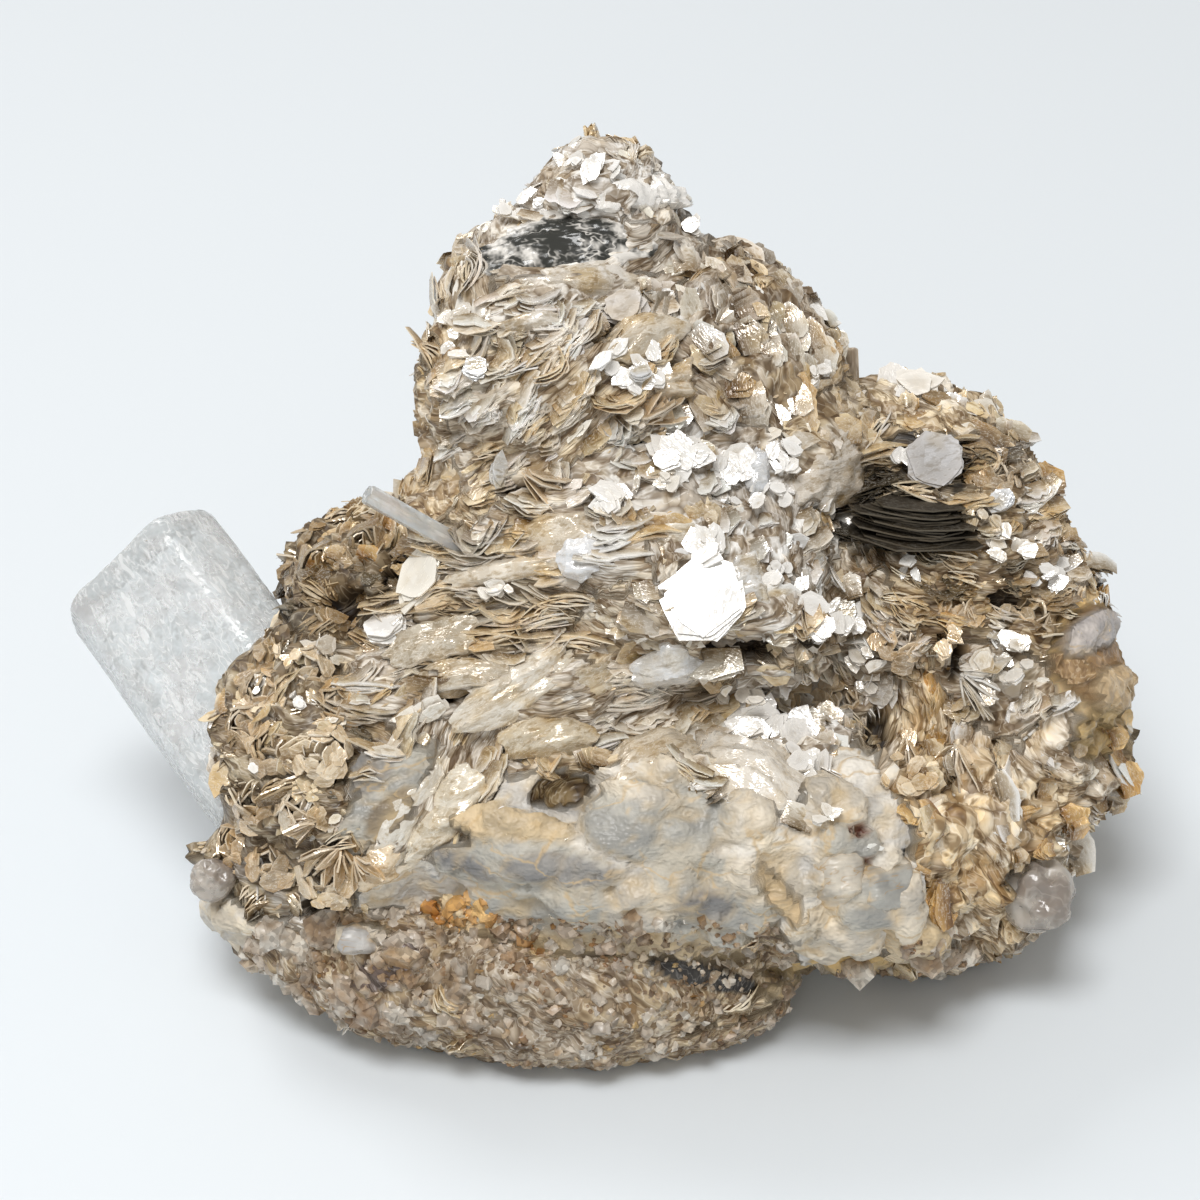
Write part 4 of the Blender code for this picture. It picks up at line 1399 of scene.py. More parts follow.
def build_grains(rock, finish):
    """Packed grains of the crust: each a small uneven stone, two rings of six points and
    two ends. Those in the rusty places are orange, and the larger ones elsewhere pale."""
    rng = np.random.default_rng(41)
    places, normals, styles, _ = scatter(rock.data, rng, "grains", BACK_GRAINS)
    count = len(places)
    base = np.array([[0.85 * math.cos(turn), 0.85 * math.sin(turn), height]
                     for height, start in ((-0.45, 0.0), (0.45, 0.5))
                     for turn in np.arange(6) * math.pi / 3 + start] + [[0, 0, -1], [0, 0, 1]])
    uneven = 1.0 + 0.13 * rng.normal(0, 1, (count, len(base), 1))
    coarse = smoothstep(-0.1, 0.5, cloud(places, 14.0, 2, seed=97))[:, None, None]
    size = 0.40 + (0.9 + 1.5 * coarse) * rng.uniform(0.0, 1.0, (count, 1, 1)) ** 3
    stretch = rng.uniform(0.65, 1.2, (count, 1, 3))
    frames = frames_from(rng.normal(0, 1, (count, 3)), rng.normal(0, 1, (count, 3)))
    points = np.einsum("nki,nij->nkj", base[None] * uneven * stretch * size, frames)
    points = points + (places - normals * 0.45 * size[:, 0])[:, None, :]
    points = above_floor(points).reshape(-1, 3)
    each = len(base)
    faces = listed([repeat_faces(part, count, each) for part in (ring_faces(2, 6), end_faces(2, 6))])
    piece = make_piece("crust_grains", points, faces, finish, sharp=52.0)
    tint = np.array(GRAIN_COLOURS)[rng.integers(0, len(GRAIN_COLOURS), count)]
    rusty = np.array(RUST_COLOURS)[rng.integers(0, len(RUST_COLOURS), count)]
    own = ~of_style(styles, "rust")[:, None]
    tint = np.where(own, tint, rusty)
    tint = tint + 0.6 * own * (size[:, 0] < 0.62) * (np.array(SMALL_GRAIN) - tint)
    streak = cloud(layered_places(places, styles) * [0.25, 1.0, 1.0], 4.0, 2, seed=99)
    streak = smoothstep(0.0, 0.5, streak)[:, None]
    tint = tint * rng.uniform(0.75, 1.15, (count, 1)) * (1.0 - own * streak * (1.0 - np.array(GRAIN_STREAK)))
    tint = held(tint + 0.55 * own * (size[:, 0] > 0.85) * (np.array(LARGE_GRAIN) - tint))
    put_colours(piece, "tint", np.repeat(tint, each, axis=0))


GRAIN_COLOURS = [(0.60, 0.53, 0.42), (0.52, 0.41, 0.28), (0.46, 0.36, 0.24), (0.58, 0.54, 0.47),
                 (0.40, 0.29, 0.18), (0.72, 0.68, 0.60), (0.58, 0.40, 0.18), (0.26, 0.20, 0.14)]
SMALL_GRAIN, LARGE_GRAIN, GRAIN_STREAK = (0.52, 0.44, 0.34), (0.78, 0.73, 0.65), (0.72, 0.52, 0.34)
RUST_COLOURS = [(0.82, 0.47, 0.16), (0.90, 0.60, 0.26), (0.60, 0.36, 0.15), (0.90, 0.72, 0.46)]


# ---------------------------------------------------------------- crystals

def crystal_sides():
    """Headings and distances of the aquamarine's six long sides, from its node's faces:
    the six directions that carry the most area."""
    areas = {}
    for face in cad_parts["aquamarine"].data.polygons:
        normal = np.array(face.normal)
        if abs(normal @ CRYSTAL_INWARD) < 0.15:
            key = tuple(np.round(normal, 2))
            gap = (np.array(face.center) / MM - CRYSTAL_TIP) @ normal
            area, _, _ = areas.get(key, (0.0, 0, 0))
            areas[key] = (area + face.area, normal, gap)
    largest = sorted(areas.values(), key=lambda item: -item[0])[:6]
    side = unit(np.cross(CRYSTAL_INWARD, OUT))
    over = np.cross(side, CRYSTAL_INWARD)
    headings = np.array([math.atan2(n @ over, n @ side) for _, n, _ in largest])
    return headings, np.array([gap for _, _, gap in largest]), side, over


def crystal_radius(angles, headings, gaps, sharpness=13.0):
    """Radius of the rounded outline: the sides' cosine-over-distance terms, each raised to
    the sharpness and added, then the root's inverse."""
    facing = np.maximum(np.cos(angles[:, None] - headings[None, :]), 0.0) / gaps[None, :]
    return (facing ** sharpness).sum(1) ** (-1.0 / sharpness)


AROUND, ALONG, DOME = 112, 66, 12  # points round the crystal, rings along it, rings on its end
END_DEPTH = 2.0  # depth of the rounded end, mm
FLECKS = 500


def build_aquamarine(finish, frost):
    """The crystal: its rounded outline carried from the rounded end into the rock, and the
    frost of white feathers that lies on it.

    The end is a shallow dome with pits; the sides carry fine lines along the axis, broad
    swells and small pits, all less than half a millimetre."""
    headings, gaps, side, over = crystal_sides()
    angles = np.linspace(0, 2 * math.pi, AROUND, endpoint=False)
    radius = crystal_radius(angles, headings, gaps)
    t = np.linspace(0, 1, DOME + 1)[1:]
    dome_scale = np.sin(t * math.pi / 2) ** 0.85
    edge = np.clip((dome_scale - 0.86) / 0.14, 0, 1)
    dome_depth = END_DEPTH * (1 - np.sqrt(np.maximum(1 - edge ** 2, 0)))
    side_depth = END_DEPTH + np.linspace(0, 1, ALONG)[1:] * (CRYSTAL_LENGTH - END_DEPTH)
    depth = np.concatenate([dome_depth, side_depth])
    scale = np.concatenate([dome_scale, np.ones(ALONG - 1)])
    grid_angle, grid_depth = np.meshgrid(angles, depth, indexing="xy")
    grid_scale = np.repeat(scale[:, None], AROUND, axis=1)
    ring = radius * grid_scale
    direction = heading(grid_angle, side, over)
    points = CRYSTAL_TIP + grid_depth[..., None] * CRYSTAL_INWARD + ring[..., None] * direction
    flat = points.reshape(-1, 3)
    arc = (grid_angle * radius).ravel()
    lines = soft_noise(np.stack([arc, grid_depth.ravel() / 14.0, 0 * arc], axis=1), 0.55, 201)
    lines += soft_noise(np.stack([arc, grid_depth.ravel() / 10.0, 0 * arc], axis=1), 1.4, 203)
    swell = cloud(flat, 9.0, 2, 205)
    pit, own = grains(flat, 1.7, 207)
    pits = -np.clip(0.45 - pit, 0, 1) * (own > 0.55)
    on_side = smoothstep(0.9, 1.0, grid_scale.ravel())
    height = 0.008 * lines * on_side + 0.30 * (swell - 0.4) + 0.5 * pits
    outward = unit(np.where(on_side[:, None] > 0.5, direction.reshape(-1, 3), -CRYSTAL_INWARD))
    end_bumps = cloud(flat, 3.5, 3, 209) * 0.35 * (1 - on_side)
    flat = flat + outward * (height + end_bumps)[:, None]
    tip = CRYSTAL_TIP + 0.05 * CRYSTAL_INWARD
    foot = CRYSTAL_TIP + CRYSTAL_LENGTH * CRYSTAL_INWARD
    quads = ring_faces(len(depth), AROUND)
    faces = listed([quads, end_faces(len(depth), AROUND)])
    piece = make_piece("aquamarine_crystal", np.vstack([flat, tip, foot]), faces, finish,
                       ("aquamarine",), sharp=80.0)
    face_outward(piece)
    over_it = flat + 0.03 * outward
    skin = make_piece("aquamarine_frost", over_it, quads[:, ::-1], frost, sharp=80.0)
    place = np.stack([grid_depth, ring * np.cos(grid_angle), ring * np.sin(grid_angle)], axis=-1)
    put_sheet(skin, place + 300.0)
    return headings, gaps, side, over


def build_veils(sides, finish):
    """Milky veils inside the aquamarine: thin wavy sheets along its axis.

    A sheet crosses the axis at its own heading; its place off the middle is a share of the
    outline's radius, bent by a noise."""
    headings, gaps, side, over = sides
    rows, columns = 60, 26
    depths, widths = np.linspace(1.5, CRYSTAL_LENGTH - 8.0, rows), np.linspace(-0.86, 0.86, columns)
    depth, across = (grid.ravel() for grid in np.meshgrid(depths, widths, indexing="ij"))
    points, sheets, faces = [], [], []
    for number, (turn, off) in enumerate(VEILS):
        angle = np.radians(turn)
        line, away = heading(angle, side, over), heading(angle, over, -side)
        place = np.stack([depth, across * 6, 0 * depth + 9 * number], axis=1)
        bent = off + 0.12 * soft_noise(place, 6.0, 301)
        direction = across[:, None] * line + bent[:, None] * away
        angles = np.arctan2(direction @ over, direction @ side)
        share = np.linalg.norm(direction, axis=1)
        limit = crystal_radius(angles, headings, gaps) * 0.93
        reach = np.minimum(share, 1.0) * limit
        points.append(CRYSTAL_TIP + depth[:, None] * CRYSTAL_INWARD + unit(direction) * reach[:, None])
        sheets.append(np.stack([depth, across * 8.0, 0 * depth + 30.0 * number], axis=1))
        faces.append(grid_faces(rows, columns) + number * rows * columns)
    piece = make_piece("aquamarine_veils", np.vstack(points), np.vstack(faces), finish)
    put_sheet(piece, np.vstack(sheets))


VEILS = [(20, -0.45), (140, 0.45)]


def build_flecks(sides, finish):
    """Small bright scales and a few brown grains sealed in the aquamarine."""
    headings, gaps, side, over = sides
    rng = np.random.default_rng(77)
    count = FLECKS
    depth = rng.uniform(0.8, CRYSTAL_LENGTH - 12.0, count)
    angle = rng.uniform(0, 2 * math.pi, count)
    reach = crystal_radius(angle, headings, gaps) * rng.uniform(0.1, 0.92, count) ** 0.6
    place = CRYSTAL_TIP + depth[:, None] * CRYSTAL_INWARD + reach[:, None] * heading(angle, side, over)
    frames = frames_from(unit(rng.normal(0, 1, (count, 3))),
                         CRYSTAL_INWARD + 0.30 * rng.normal(0, 1, (count, 3)))
    length = rng.uniform(0.25, 1.7, count)
    x, y, _ = to_view(place)
    brown = np.zeros(count, bool)
    for cx, cy, r in BROWN_GRAINS:
        brown |= (x - cx) ** 2 + (y - cy) ** 2 < r ** 2
    length = np.where(brown, length * 0.7, length)
    width = length * rng.uniform(0.06, 0.35, count)
    tint = np.where(brown[:, None], [0.42, 0.33, 0.24], [0.95, 0.95, 0.95])
    plates = plate_set(place, frames, length, width, 0.05, rng.normal(0, 0.1, count), 0.0, 0.4, tint)
    build_plates("aquamarine_flecks", [(plates, 5, 1)], finish)


BROWN_GRAINS = [(97, 605, 11), (148, 556, 10), (140, 545, 7)]


def build_prism(name, node, finish, seed):
    """A small six-sided prism with lined sides and a slightly sunken end. Its axis, length
    and width are those of its node's own corners."""
    points, _ = mesh_arrays(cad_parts[node].data)
    middle = points.mean(0)
    _, _, axes = np.linalg.svd(points - middle)
    inward = axes[0] * (1.0 if axes[0] @ OUT < 0 else -1.0)
    along = (points - middle) @ inward
    side, over = axes[1], np.cross(inward, axes[1])
    radial = points - middle - along[:, None] * inward
    length = np.linalg.norm(radial, axis=1)
    reach, corner = length.max(), radial[np.argmax(length)]
    start = math.atan2(corner @ over, corner @ side)
    around = 36
    headings = start + np.linspace(0, 2 * math.pi, around, endpoint=False)
    from_side = np.mod(headings - start, math.pi / 3) - math.pi / 6
    outline = reach * math.cos(math.pi / 6) / np.cos(from_side)
    stations = np.concatenate([[0.25, 0.05, 0.0, 0.12], np.linspace(0.3, np.ptp(along), 14)])
    scale = np.concatenate([[0.5, 0.72, 0.86, 0.97], np.ones(14)])
    rng = np.random.default_rng(seed)
    lines = 1.0 + 0.03 * rng.normal(0, 1, around)
    radius = scale[:, None] * outline[None, :] * lines[None, :]
    tip = middle + along.min() * inward
    made = tip + stations[:, None, None] * inward + radius[:, :, None] * heading(headings, side, over)
    ring = np.arange(around)
    caps = np.stack([ring[::-1], (len(stations) - 1) * around + ring])
    faces = listed([ring_faces(len(stations), around), caps])
    piece = make_piece(name, made.reshape(-1, 3), faces, finish, (node,), sharp=25.0)
    face_outward(piece)


def build_boulder(name, node, finish, seed):
    """A rounded glassy lump that fills its node's box: a globe of rings whose directions
    are pushed out by a noise, with shallow broken scoops."""
    low, high = np.array(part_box(node)) / MM
    around, rings = 64, 40
    turn = np.linspace(0, 2 * math.pi, around, endpoint=False)
    lean = np.linspace(0, math.pi, rings + 2)[1:-1]
    flat = np.stack([np.outer(np.sin(lean), np.cos(turn)).ravel(),
                     np.outer(np.sin(lean), np.sin(turn)).ravel(), np.repeat(-np.cos(lean), around)], axis=1)
    flat = np.vstack([flat, [[0, 0, -1], [0, 0, 1]]])
    globe = np.sign(flat) * np.abs(flat) ** 0.92
    scoop, _ = grains(globe, 0.8, seed)
    reach = 0.98 + 0.22 * cloud(globe, 0.9, 3, seed) + 0.55 * np.minimum(scoop - 0.5, 0.0)
    points = (low + high) / 2 + globe * reach[:, None] * (high - low) / 2
    faces = listed([ring_faces(rings, around), end_faces(rings, around)])
    make_piece(name, points, faces, finish, (node,), sharp=60.0)


# ---------------------------------------------------------------- shading helpers

def new_material(name):
    """Empty material with an output and a Principled shader wired to it."""
    made = bpy.data.materials.new(name)
    made.use_nodes = True
    tree = made.node_tree
    tree.nodes.clear()
    out = tree.nodes.new("ShaderNodeOutputMaterial")
    shader = tree.nodes.new("ShaderNodeBsdfPrincipled")
    tree.links.new(shader.outputs["BSDF"], out.inputs["Surface"])
    return made, tree, shader, out


def feed(tree, node, inputs):
    """Gives a node's inputs their values, or links the sockets that are given instead."""
    for key, value in inputs.items():
        if isinstance(value, bpy.types.NodeSocket):
            tree.links.new(value, node.inputs[key])
        else:
            node.inputs[key].default_value = value


def add(tree, kind, inputs=None, **settings):
    """Node with its settings and its inputs, each a value or a socket to link."""
    node = tree.nodes.new("ShaderNode" + kind)
    for key, value in settings.items():
        setattr(node, key, value)
    feed(tree, node, inputs or {})
    return node


def maths(tree, operation, first, second=0.0, third=0.0):
    """Result of a Math node."""
    return add(tree, "Math", {0: first, 1: second, 2: third}, operation=operation).outputs[0]


def vector_maths(tree, operation, first, second):
    """Vector Math node, with its results still to choose from."""
    return add(tree, "VectorMath", {0: first, 1: second}, operation=operation)


def blended(tree, factor, first, second, mode="MIX"):
    """Colour that goes from the first to the second by the factor."""
    node = add(tree, "Mix", {"Factor": factor}, data_type="RGBA", blend_type=mode)
    for key, value in (("A", first), ("B", second)):
        socket = [s for s in node.inputs if s.name == key and s.type == "RGBA"][0]
        if isinstance(value, bpy.types.NodeSocket):
            tree.links.new(value, socket)
        else:
            socket.default_value = (*value, 1.0)
    return [s for s in node.outputs if s.type == "RGBA"][0]


def tinted(tree, colour, by, factor=1.0):
    """Colour multiplied by another, as far as the factor says."""
    return blended(tree, factor, colour, by, "MULTIPLY")


def ranged(tree, value, low, high, to_low=0.0, to_high=1.0):
    """Value taken smoothly from low and high to the two new ends, and held beyond them."""
    inputs = {"Value": value, "From Min": low, "From Max": high, "To Min": to_low, "To Max": to_high}
    return add(tree, "MapRange", inputs, interpolation_type="SMOOTHSTEP").outputs["Result"]


def noise(tree, vector, scale, detail=3.0, roughness=0.55, distortion=0.0):
    """Noise value. The scale is in cells to a metre for object places."""
    inputs = {"Vector": vector, "Scale": scale, "Detail": detail, "Roughness": roughness,
              "Distortion": distortion}
    return add(tree, "TexNoise", inputs).outputs["Fac"]


def attribute(tree, name, output="Fac"):
    """A mesh attribute's output."""
    return add(tree, "Attribute", attribute_name=name).outputs[output]


def object_places(tree):
    """Places in the object, in metres."""
    return add(tree, "TexCoord").outputs["Object"]


def product(tree, first, second):
    """The two values multiplied."""
    return maths(tree, "MULTIPLY", first, second)


def drawn_out(tree, vector, scale):
    """The places stretched or squeezed along each direction."""
    return add(tree, "Mapping", {"Vector": vector, "Scale": scale}).outputs[0]


def ridge(tree, value, middle, width):
    """1 where a value is at the middle, 0 from the width off it."""
    off = maths(tree, "ABSOLUTE", maths(tree, "SUBTRACT", value, middle))
    return ranged(tree, off, 0.0, width, 1.0, 0.0)


def shared_effect(name, inputs, outputs):
    """New node group with named sockets, its given values and the places for its results."""
    group = bpy.data.node_groups.new(name, "ShaderNodeTree")
    for title, kind in inputs:
        group.interface.new_socket(title, in_out="INPUT", socket_type="NodeSocket" + kind)
    for title in outputs:
        group.interface.new_socket(title, in_out="OUTPUT", socket_type="NodeSocketFloat")
    return group, group.nodes.new("NodeGroupInput").outputs, group.nodes.new("NodeGroupOutput").inputs


def flake_mosaic():
    """Packed flakes: each cell has its own tone from 0 to 1 and its own even slope, and the
    gap grows from its middle to its border."""
    group, given, result = shared_effect("flake mosaic", [("Places", "Vector"), ("Fineness", "Float")],
                                         ["Tone", "Slope", "Gap"])
    cells = add(group, "TexVoronoi", {"Vector": given["Places"], "Scale": given["Fineness"]})
    middle, colour = cells.outputs["Position"], cells.outputs["Color"]
    away = vector_maths(group, "SUBTRACT", given["Places"], middle)
    lean = vector_maths(group, "SUBTRACT", colour, (0.5, 0.5, 0.5))
    slope = vector_maths(group, "DOT_PRODUCT", away.outputs[0], lean.outputs[0])
    group.links.new(add(group, "SeparateColor", {"Color": colour}).outputs[0], result["Tone"])
    group.links.new(product(group, slope.outputs["Value"], given["Fineness"]), result["Slope"])
    group.links.new(ranged(group, cells.outputs["Distance"], 0.40, 0.85), result["Gap"])
    return group


def feather_lines():
    """Fine lines: thin bands where a noise passes its middle, and the noise itself."""
    group, given, result = shared_effect("feather lines", [("Places", "Vector"), ("Width", "Float")],
                                         ["Lines", "Noise"])
    value = noise(group, given["Places"], 1.0, 2.0, 0.75)
    group.links.new(ridge(group, value, 0.5, given["Width"]), result["Lines"])
    group.links.new(value, result["Noise"])
    return group


MOSAIC, FEATHER = flake_mosaic(), feather_lines()


def mosaic_on(tree, places, fineness):
    """The flake mosaic in a material, on the given places."""
    return add(tree, "Group", {"Places": places, "Fineness": fineness}, node_tree=MOSAIC).outputs


def feather_on(tree, places, width):
    """The feather lines in a material, on the given places."""
    return add(tree, "Group", {"Places": places, "Width": width}, node_tree=FEATHER).outputs


def finished(tree, shader, colour, rough, height, strength, depth):
    """Wires a colour, a roughness and a bump of the given depth in metres."""
    feed(tree, shader, {"Base Color": colour, "Roughness": rough})
    bump = add(tree, "Bump", {"Strength": strength, "Distance": depth, "Height": height})
    tree.links.new(bump.outputs[0], shader.inputs["Normal"])


# ---------------------------------------------------------------- materials

def mica_finish(name, worked, gloss=1.0):
    """Pearly mica: the plate's own tint in slightly tilted scales, feathered with pale
    lines along the sheet, stained tan in patches, and bright on its edges. worked is 1
    for crumpled leaves and near 0 for smooth ones; gloss is 0 for clouded ones."""
    made, tree, shader, _ = new_material(name)
    place = object_places(tree)
    sheet = attribute(tree, "sheet", "Vector")
    rim = attribute(tree, "rim")
    tint = attribute(tree, "tint", "Color")
    scales = mosaic_on(tree, drawn_out(tree, sheet, (0.30, 0.48, 0.25)), 1.6)
    feather = feather_on(tree, drawn_out(tree, sheet, (0.75, 1.7, 1.2)), 0.030)
    blue = add(tree, "SeparateColor", {"Color": tint}).outputs[2]
    worn = ranged(tree, blue, 0.62, 0.84, 0.35 + 0.65 * worked, 0.08 * worked)
    stain = product(tree, worn, ranged(tree, noise(tree, place, 190.0, 2.0, 0.6), 0.46, 0.66, 0.0, 0.85))
    shade = blended(tree, scales["Tone"], (0.76, 0.71, 0.63), (1.12, 1.12, 1.12))
    body = blended(tree, worn, tint, tinted(tree, tint, shade))
    stained = tinted(tree, body, (0.82, 0.68, 0.44), stain)
    dark = product(tree, worn, ranged(tree, feather["Noise"], 0.50, 0.32, 0.0, 0.65))
    streaked = tinted(tree, stained, (0.50, 0.40, 0.24), dark)
    lined = blended(tree, product(tree, feather["Lines"], 0.40 * worked), streaked, (0.97, 0.93, 0.85))
    edge = add(tree, "Gamma", {"Color": stained, "Gamma": 0.62}).outputs[0]
    colour = blended(tree, rim, lined, edge)
    rough = ranged(tree, feather["Noise"], 0.38, 0.62, 0.55 - 0.25 * gloss, 0.45 - 0.37 * gloss)
    finished(tree, shader, colour, rough, feather["Noise"], 0.24 * worked, 0.0006)
    feed(tree, shader, {"IOR": MICA_IOR, "Metallic": 0.12, "Specular IOR Level": 0.25 + 0.6 * gloss})
    return made


def rock_finish():
    """Ground under the flakes. Mica ground is a mosaic of thin tilted scales with pale feathering and
    painted shade darkening the gaps between them; albite is clouded, with cream borders and rusty fractures."""
    made, tree, shader, _ = new_material("matrix")
    place = object_places(tree)
    ground = attribute(tree, "ground", "Color")
    albite = attribute(tree, "albite")
    border = attribute(tree, "border")
    sheet = attribute(tree, "sheet", "Vector")
    scales = mosaic_on(tree, drawn_out(tree, sheet, (0.42, 0.62, 1.30)), 1.0)
    grown = add(tree, "Mix", {"Factor": albite}, data_type="VECTOR")
    either = (drawn_out(tree, sheet, (0.16, 0.42, 1.9)), drawn_out(tree, place, (480.0, 480.0, 760.0)))
    for value, socket in zip(either, [end for end in grown.inputs if end.type == "VECTOR"][-2:]):
        tree.links.new(value, socket)
    feather = feather_on(tree, [end for end in grown.outputs if end.type == "VECTOR"][0], 0.030)
    shade = blended(tree, scales["Tone"], (0.38, 0.29, 0.19), (1.12, 1.12, 1.12))
    body = tinted(tree, ground, shade)
    # The gaps between the scales and the low bands of the feather noise are darkened brown: painted shade in
    # the recesses of the ground.
    painted_gap_shade = maths(tree, "MAXIMUM", ranged(tree, feather["Noise"], 0.52, 0.34, 0.0, 0.85),
                 product(tree, scales["Gap"], 0.85))
    shaded = tinted(tree, body, (0.24, 0.17, 0.09), painted_gap_shade)
    pale = add(tree, "Gamma", {"Color": body, "Gamma": 0.5}).outputs[0]
    mica = blended(tree, product(tree, feather["Lines"], 0.6), shaded, pale)
    cloudy = noise(tree, drawn_out(tree, place, (1.0, 1.0, 1.7)), 170.0, 3.0, 0.55)
    clouded = blended(tree, ranged(tree, cloudy, 0.34, 0.66), (0.74, 0.74, 0.75), (1.20, 1.17, 1.12))
    stone = tinted(tree, ground, clouded)
    rind = product(tree, border, ranged(tree, cloudy, 0.30, 0.60, 0.95, 0.25))
    creamy = blended(tree, rind, stone, (0.70, 0.53, 0.30))
    bent = vector_maths(tree, "ADD", drawn_out(tree, place, (130.0, 160.0, 210.0)), cloudy)
    cracks = add(tree, "TexVoronoi", {"Vector": bent.outputs[0], "Scale": 1.0}, feature="DISTANCE_TO_EDGE")
    seam = ranged(tree, cracks.outputs["Distance"], 0.0, 0.060, 1.0, 0.0)
    rusty = product(tree, seam, ranged(tree, cloudy, 0.44, 0.60, 0.0, 0.70))
    stained = blended(tree, rusty, creamy, (0.62, 0.45, 0.24))
    height = maths(tree, "ADD", product(tree, cloudy, 0.5), feather["Noise"])
    colour = blended(tree, albite, mica, stained)
    finished(tree, shader, colour, ranged(tree, cloudy, 0.3, 0.7, 0.34, 0.60), height, 0.75, 0.0009)
    return made


def plain_finish(name, colour, roughness):
    """Even finish."""
    made, tree, shader, _ = new_material(name)
    feed(tree, shader, {"Base Color": (*colour, 1.0), "Roughness": roughness})
    return made


def tan_prism_finish():
    """Tan glassy crystal with darker lines along it."""
    made, tree, shader, _ = new_material("tan_prism")
    place = object_places(tree)
    lines = feather_on(tree, drawn_out(tree, place, (900.0, 900.0, 160.0)), 0.04)
    colour = blended(tree, ranged(tree, lines["Noise"], 0.35, 0.65), (0.30, 0.23, 0.16), (0.56, 0.47, 0.36))
    finished(tree, shader, colour, 0.28, lines["Noise"], 0.4, 0.0004)
    return made


def glass_finish(name, pale, dull, ior, rough, absorbs, density, clear, size):
    """Crystal: transmission with absorption inside it. Clouds and feathering drawn out by
    size make it paler or duller, and frost it."""
    made, tree, shader, out = new_material(name)
    place = object_places(tree)
    lines = feather_on(tree, drawn_out(tree, place, size), 0.035)
    cloudy = noise(tree, place, 210.0, 3.0, 0.65)
    mixed = maths(tree, "MAXIMUM", product(tree, lines["Lines"], 0.4), ranged(tree, cloudy, 0.42, 0.60))
    colour = blended(tree, mixed, dull, pale)
    frosted = ranged(tree, cloudy, 0.38, 0.60, rough, rough + 0.22)
    finished(tree, shader, colour, frosted, maths(tree, "ADD", lines["Noise"], cloudy), 0.55, 0.0008)
    feed(tree, shader, {"Transmission Weight": clear, "IOR": ior})
    inside = add(tree, "VolumeAbsorption", {"Color": (*absorbs, 1.0), "Density": density})
    tree.links.new(inside.outputs[0], out.inputs["Volume"])
    return made


def albite_finish():
    """Feldspar lumps: clouded tint, cream towards each lump's edge, rusty fractures."""
    made, tree, shader, _ = new_material("albite")
    place = object_places(tree)
    sheet = attribute(tree, "sheet", "Vector")
    feather = feather_on(tree, drawn_out(tree, sheet, (0.14, 0.60, 0.4)), 0.022)
    cloudy = noise(tree, place, 260.0, 3.0, 0.62)
    murky = ranged(tree, cloudy, 0.36, 0.66)
    patchy = tinted(tree, attribute(tree, "tint", "Color"), (0.66, 0.66, 0.67), murky)
    outer = maths(tree, "ADD", attribute(tree, "edge"), product(tree, feather["Noise"], 1.2))
    creamy = blended(tree, ranged(tree, outer, 1.1, 1.6, 0.0, 0.9), patchy, (0.66, 0.50, 0.30))
    stain = product(tree, feather["Lines"], ranged(tree, cloudy, 0.42, 0.56, 0.0, 0.7))
    finished(tree, shader, blended(tree, stain, creamy, (0.44, 0.28, 0.12)),
             ranged(tree, cloudy, 0.3, 0.7, 0.22, 0.46), feather["Noise"], 0.7, 0.0009)
    return made


def grain_finish():
    """Crust grains: their own tint in small glints, with brown film between them."""
    made, tree, shader, _ = new_material("crust")
    place = object_places(tree)
    scales = mosaic_on(tree, place, 1500.0)
    film = ranged(tree, noise(tree, place, 140.0, 3.0, 0.65), 0.42, 0.64, 0.0, 0.85)
    filmed = tinted(tree, attribute(tree, "tint", "Color"), (0.46, 0.31, 0.17), film)
    shade = blended(tree, scales["Tone"], (0.62, 0.60, 0.58), (1.15, 1.15, 1.15))
    finished(tree, shader, tinted(tree, filmed, shade), 0.28, scales["Slope"], 0.6, 0.0006)
    return made


def smoky_finish():
    """Near black glassy mica, veiled by silvery crackle that thickens towards its edge."""
    made, tree, shader, _ = new_material("smoky_mica")
    place = object_places(tree)
    crackle = feather_on(tree, drawn_out(tree, place, (260.0, 480.0, 480.0)), 0.040)
    cloudy = noise(tree, place, 170.0, 4.0, 0.65)
    outer = ranged(tree, attribute(tree, "edge"), 0.45, 1.0, 0.0, 0.18)
    silvery = ranged(tree, maths(tree, "ADD", cloudy, outer), 0.56, 0.70)
    veined = product(tree, crackle["Lines"], ranged(tree, cloudy, 0.48, 0.60, 0.0, 0.9))
    finished(tree, shader, blended(tree, maths(tree, "MAXIMUM", silvery, veined), (0.035, 0.036, 0.032),
                                   (0.80, 0.77, 0.72)), 0.18, crackle["Noise"], 0.6, 0.0006)
    return made


def veil_finish(name, spread, low, most):
    """Milky streaks: white, as dense as most, where a noise drawn out by spread is well
    over low; half as dense along its fine lines; clear elsewhere."""
    made, tree, shader, _ = new_material(name)
    sheet = attribute(tree, "sheet", "Vector")
    streaks = feather_on(tree, drawn_out(tree, sheet, spread), 0.04)
    cover = maths(tree, "MAXIMUM", ranged(tree, streaks["Noise"], low, low + 0.10, 0.0, most),
                  product(tree, streaks["Lines"], 0.50))
    feed(tree, shader, {"Base Color": (0.97, 0.985, 0.985, 1.0), "Roughness": 0.4, "Alpha": cover})
    return made


def fleck_finish():
    """Tiny sealed scales, pale or brown by their tint."""
    made, tree, shader, _ = new_material("fleck")
    feed(tree, shader, {"Base Color": attribute(tree, "tint", "Color"), "Roughness": 0.25})
    return made


# ---------------------------------------------------------------- stage

# Lamps: name, place and size in metres, power in watts
LAMPS = [
    ("overhead", (-0.13, -0.40, 1.05), (0.46, 0.36), 7.4),
    ("back_left", (-0.75, 0.70, 1.10), (0.50, 0.50), 5.4),
    ("front_fill", (-0.30, -1.20, 0.60), (0.8, 0.6), 1.2),
]


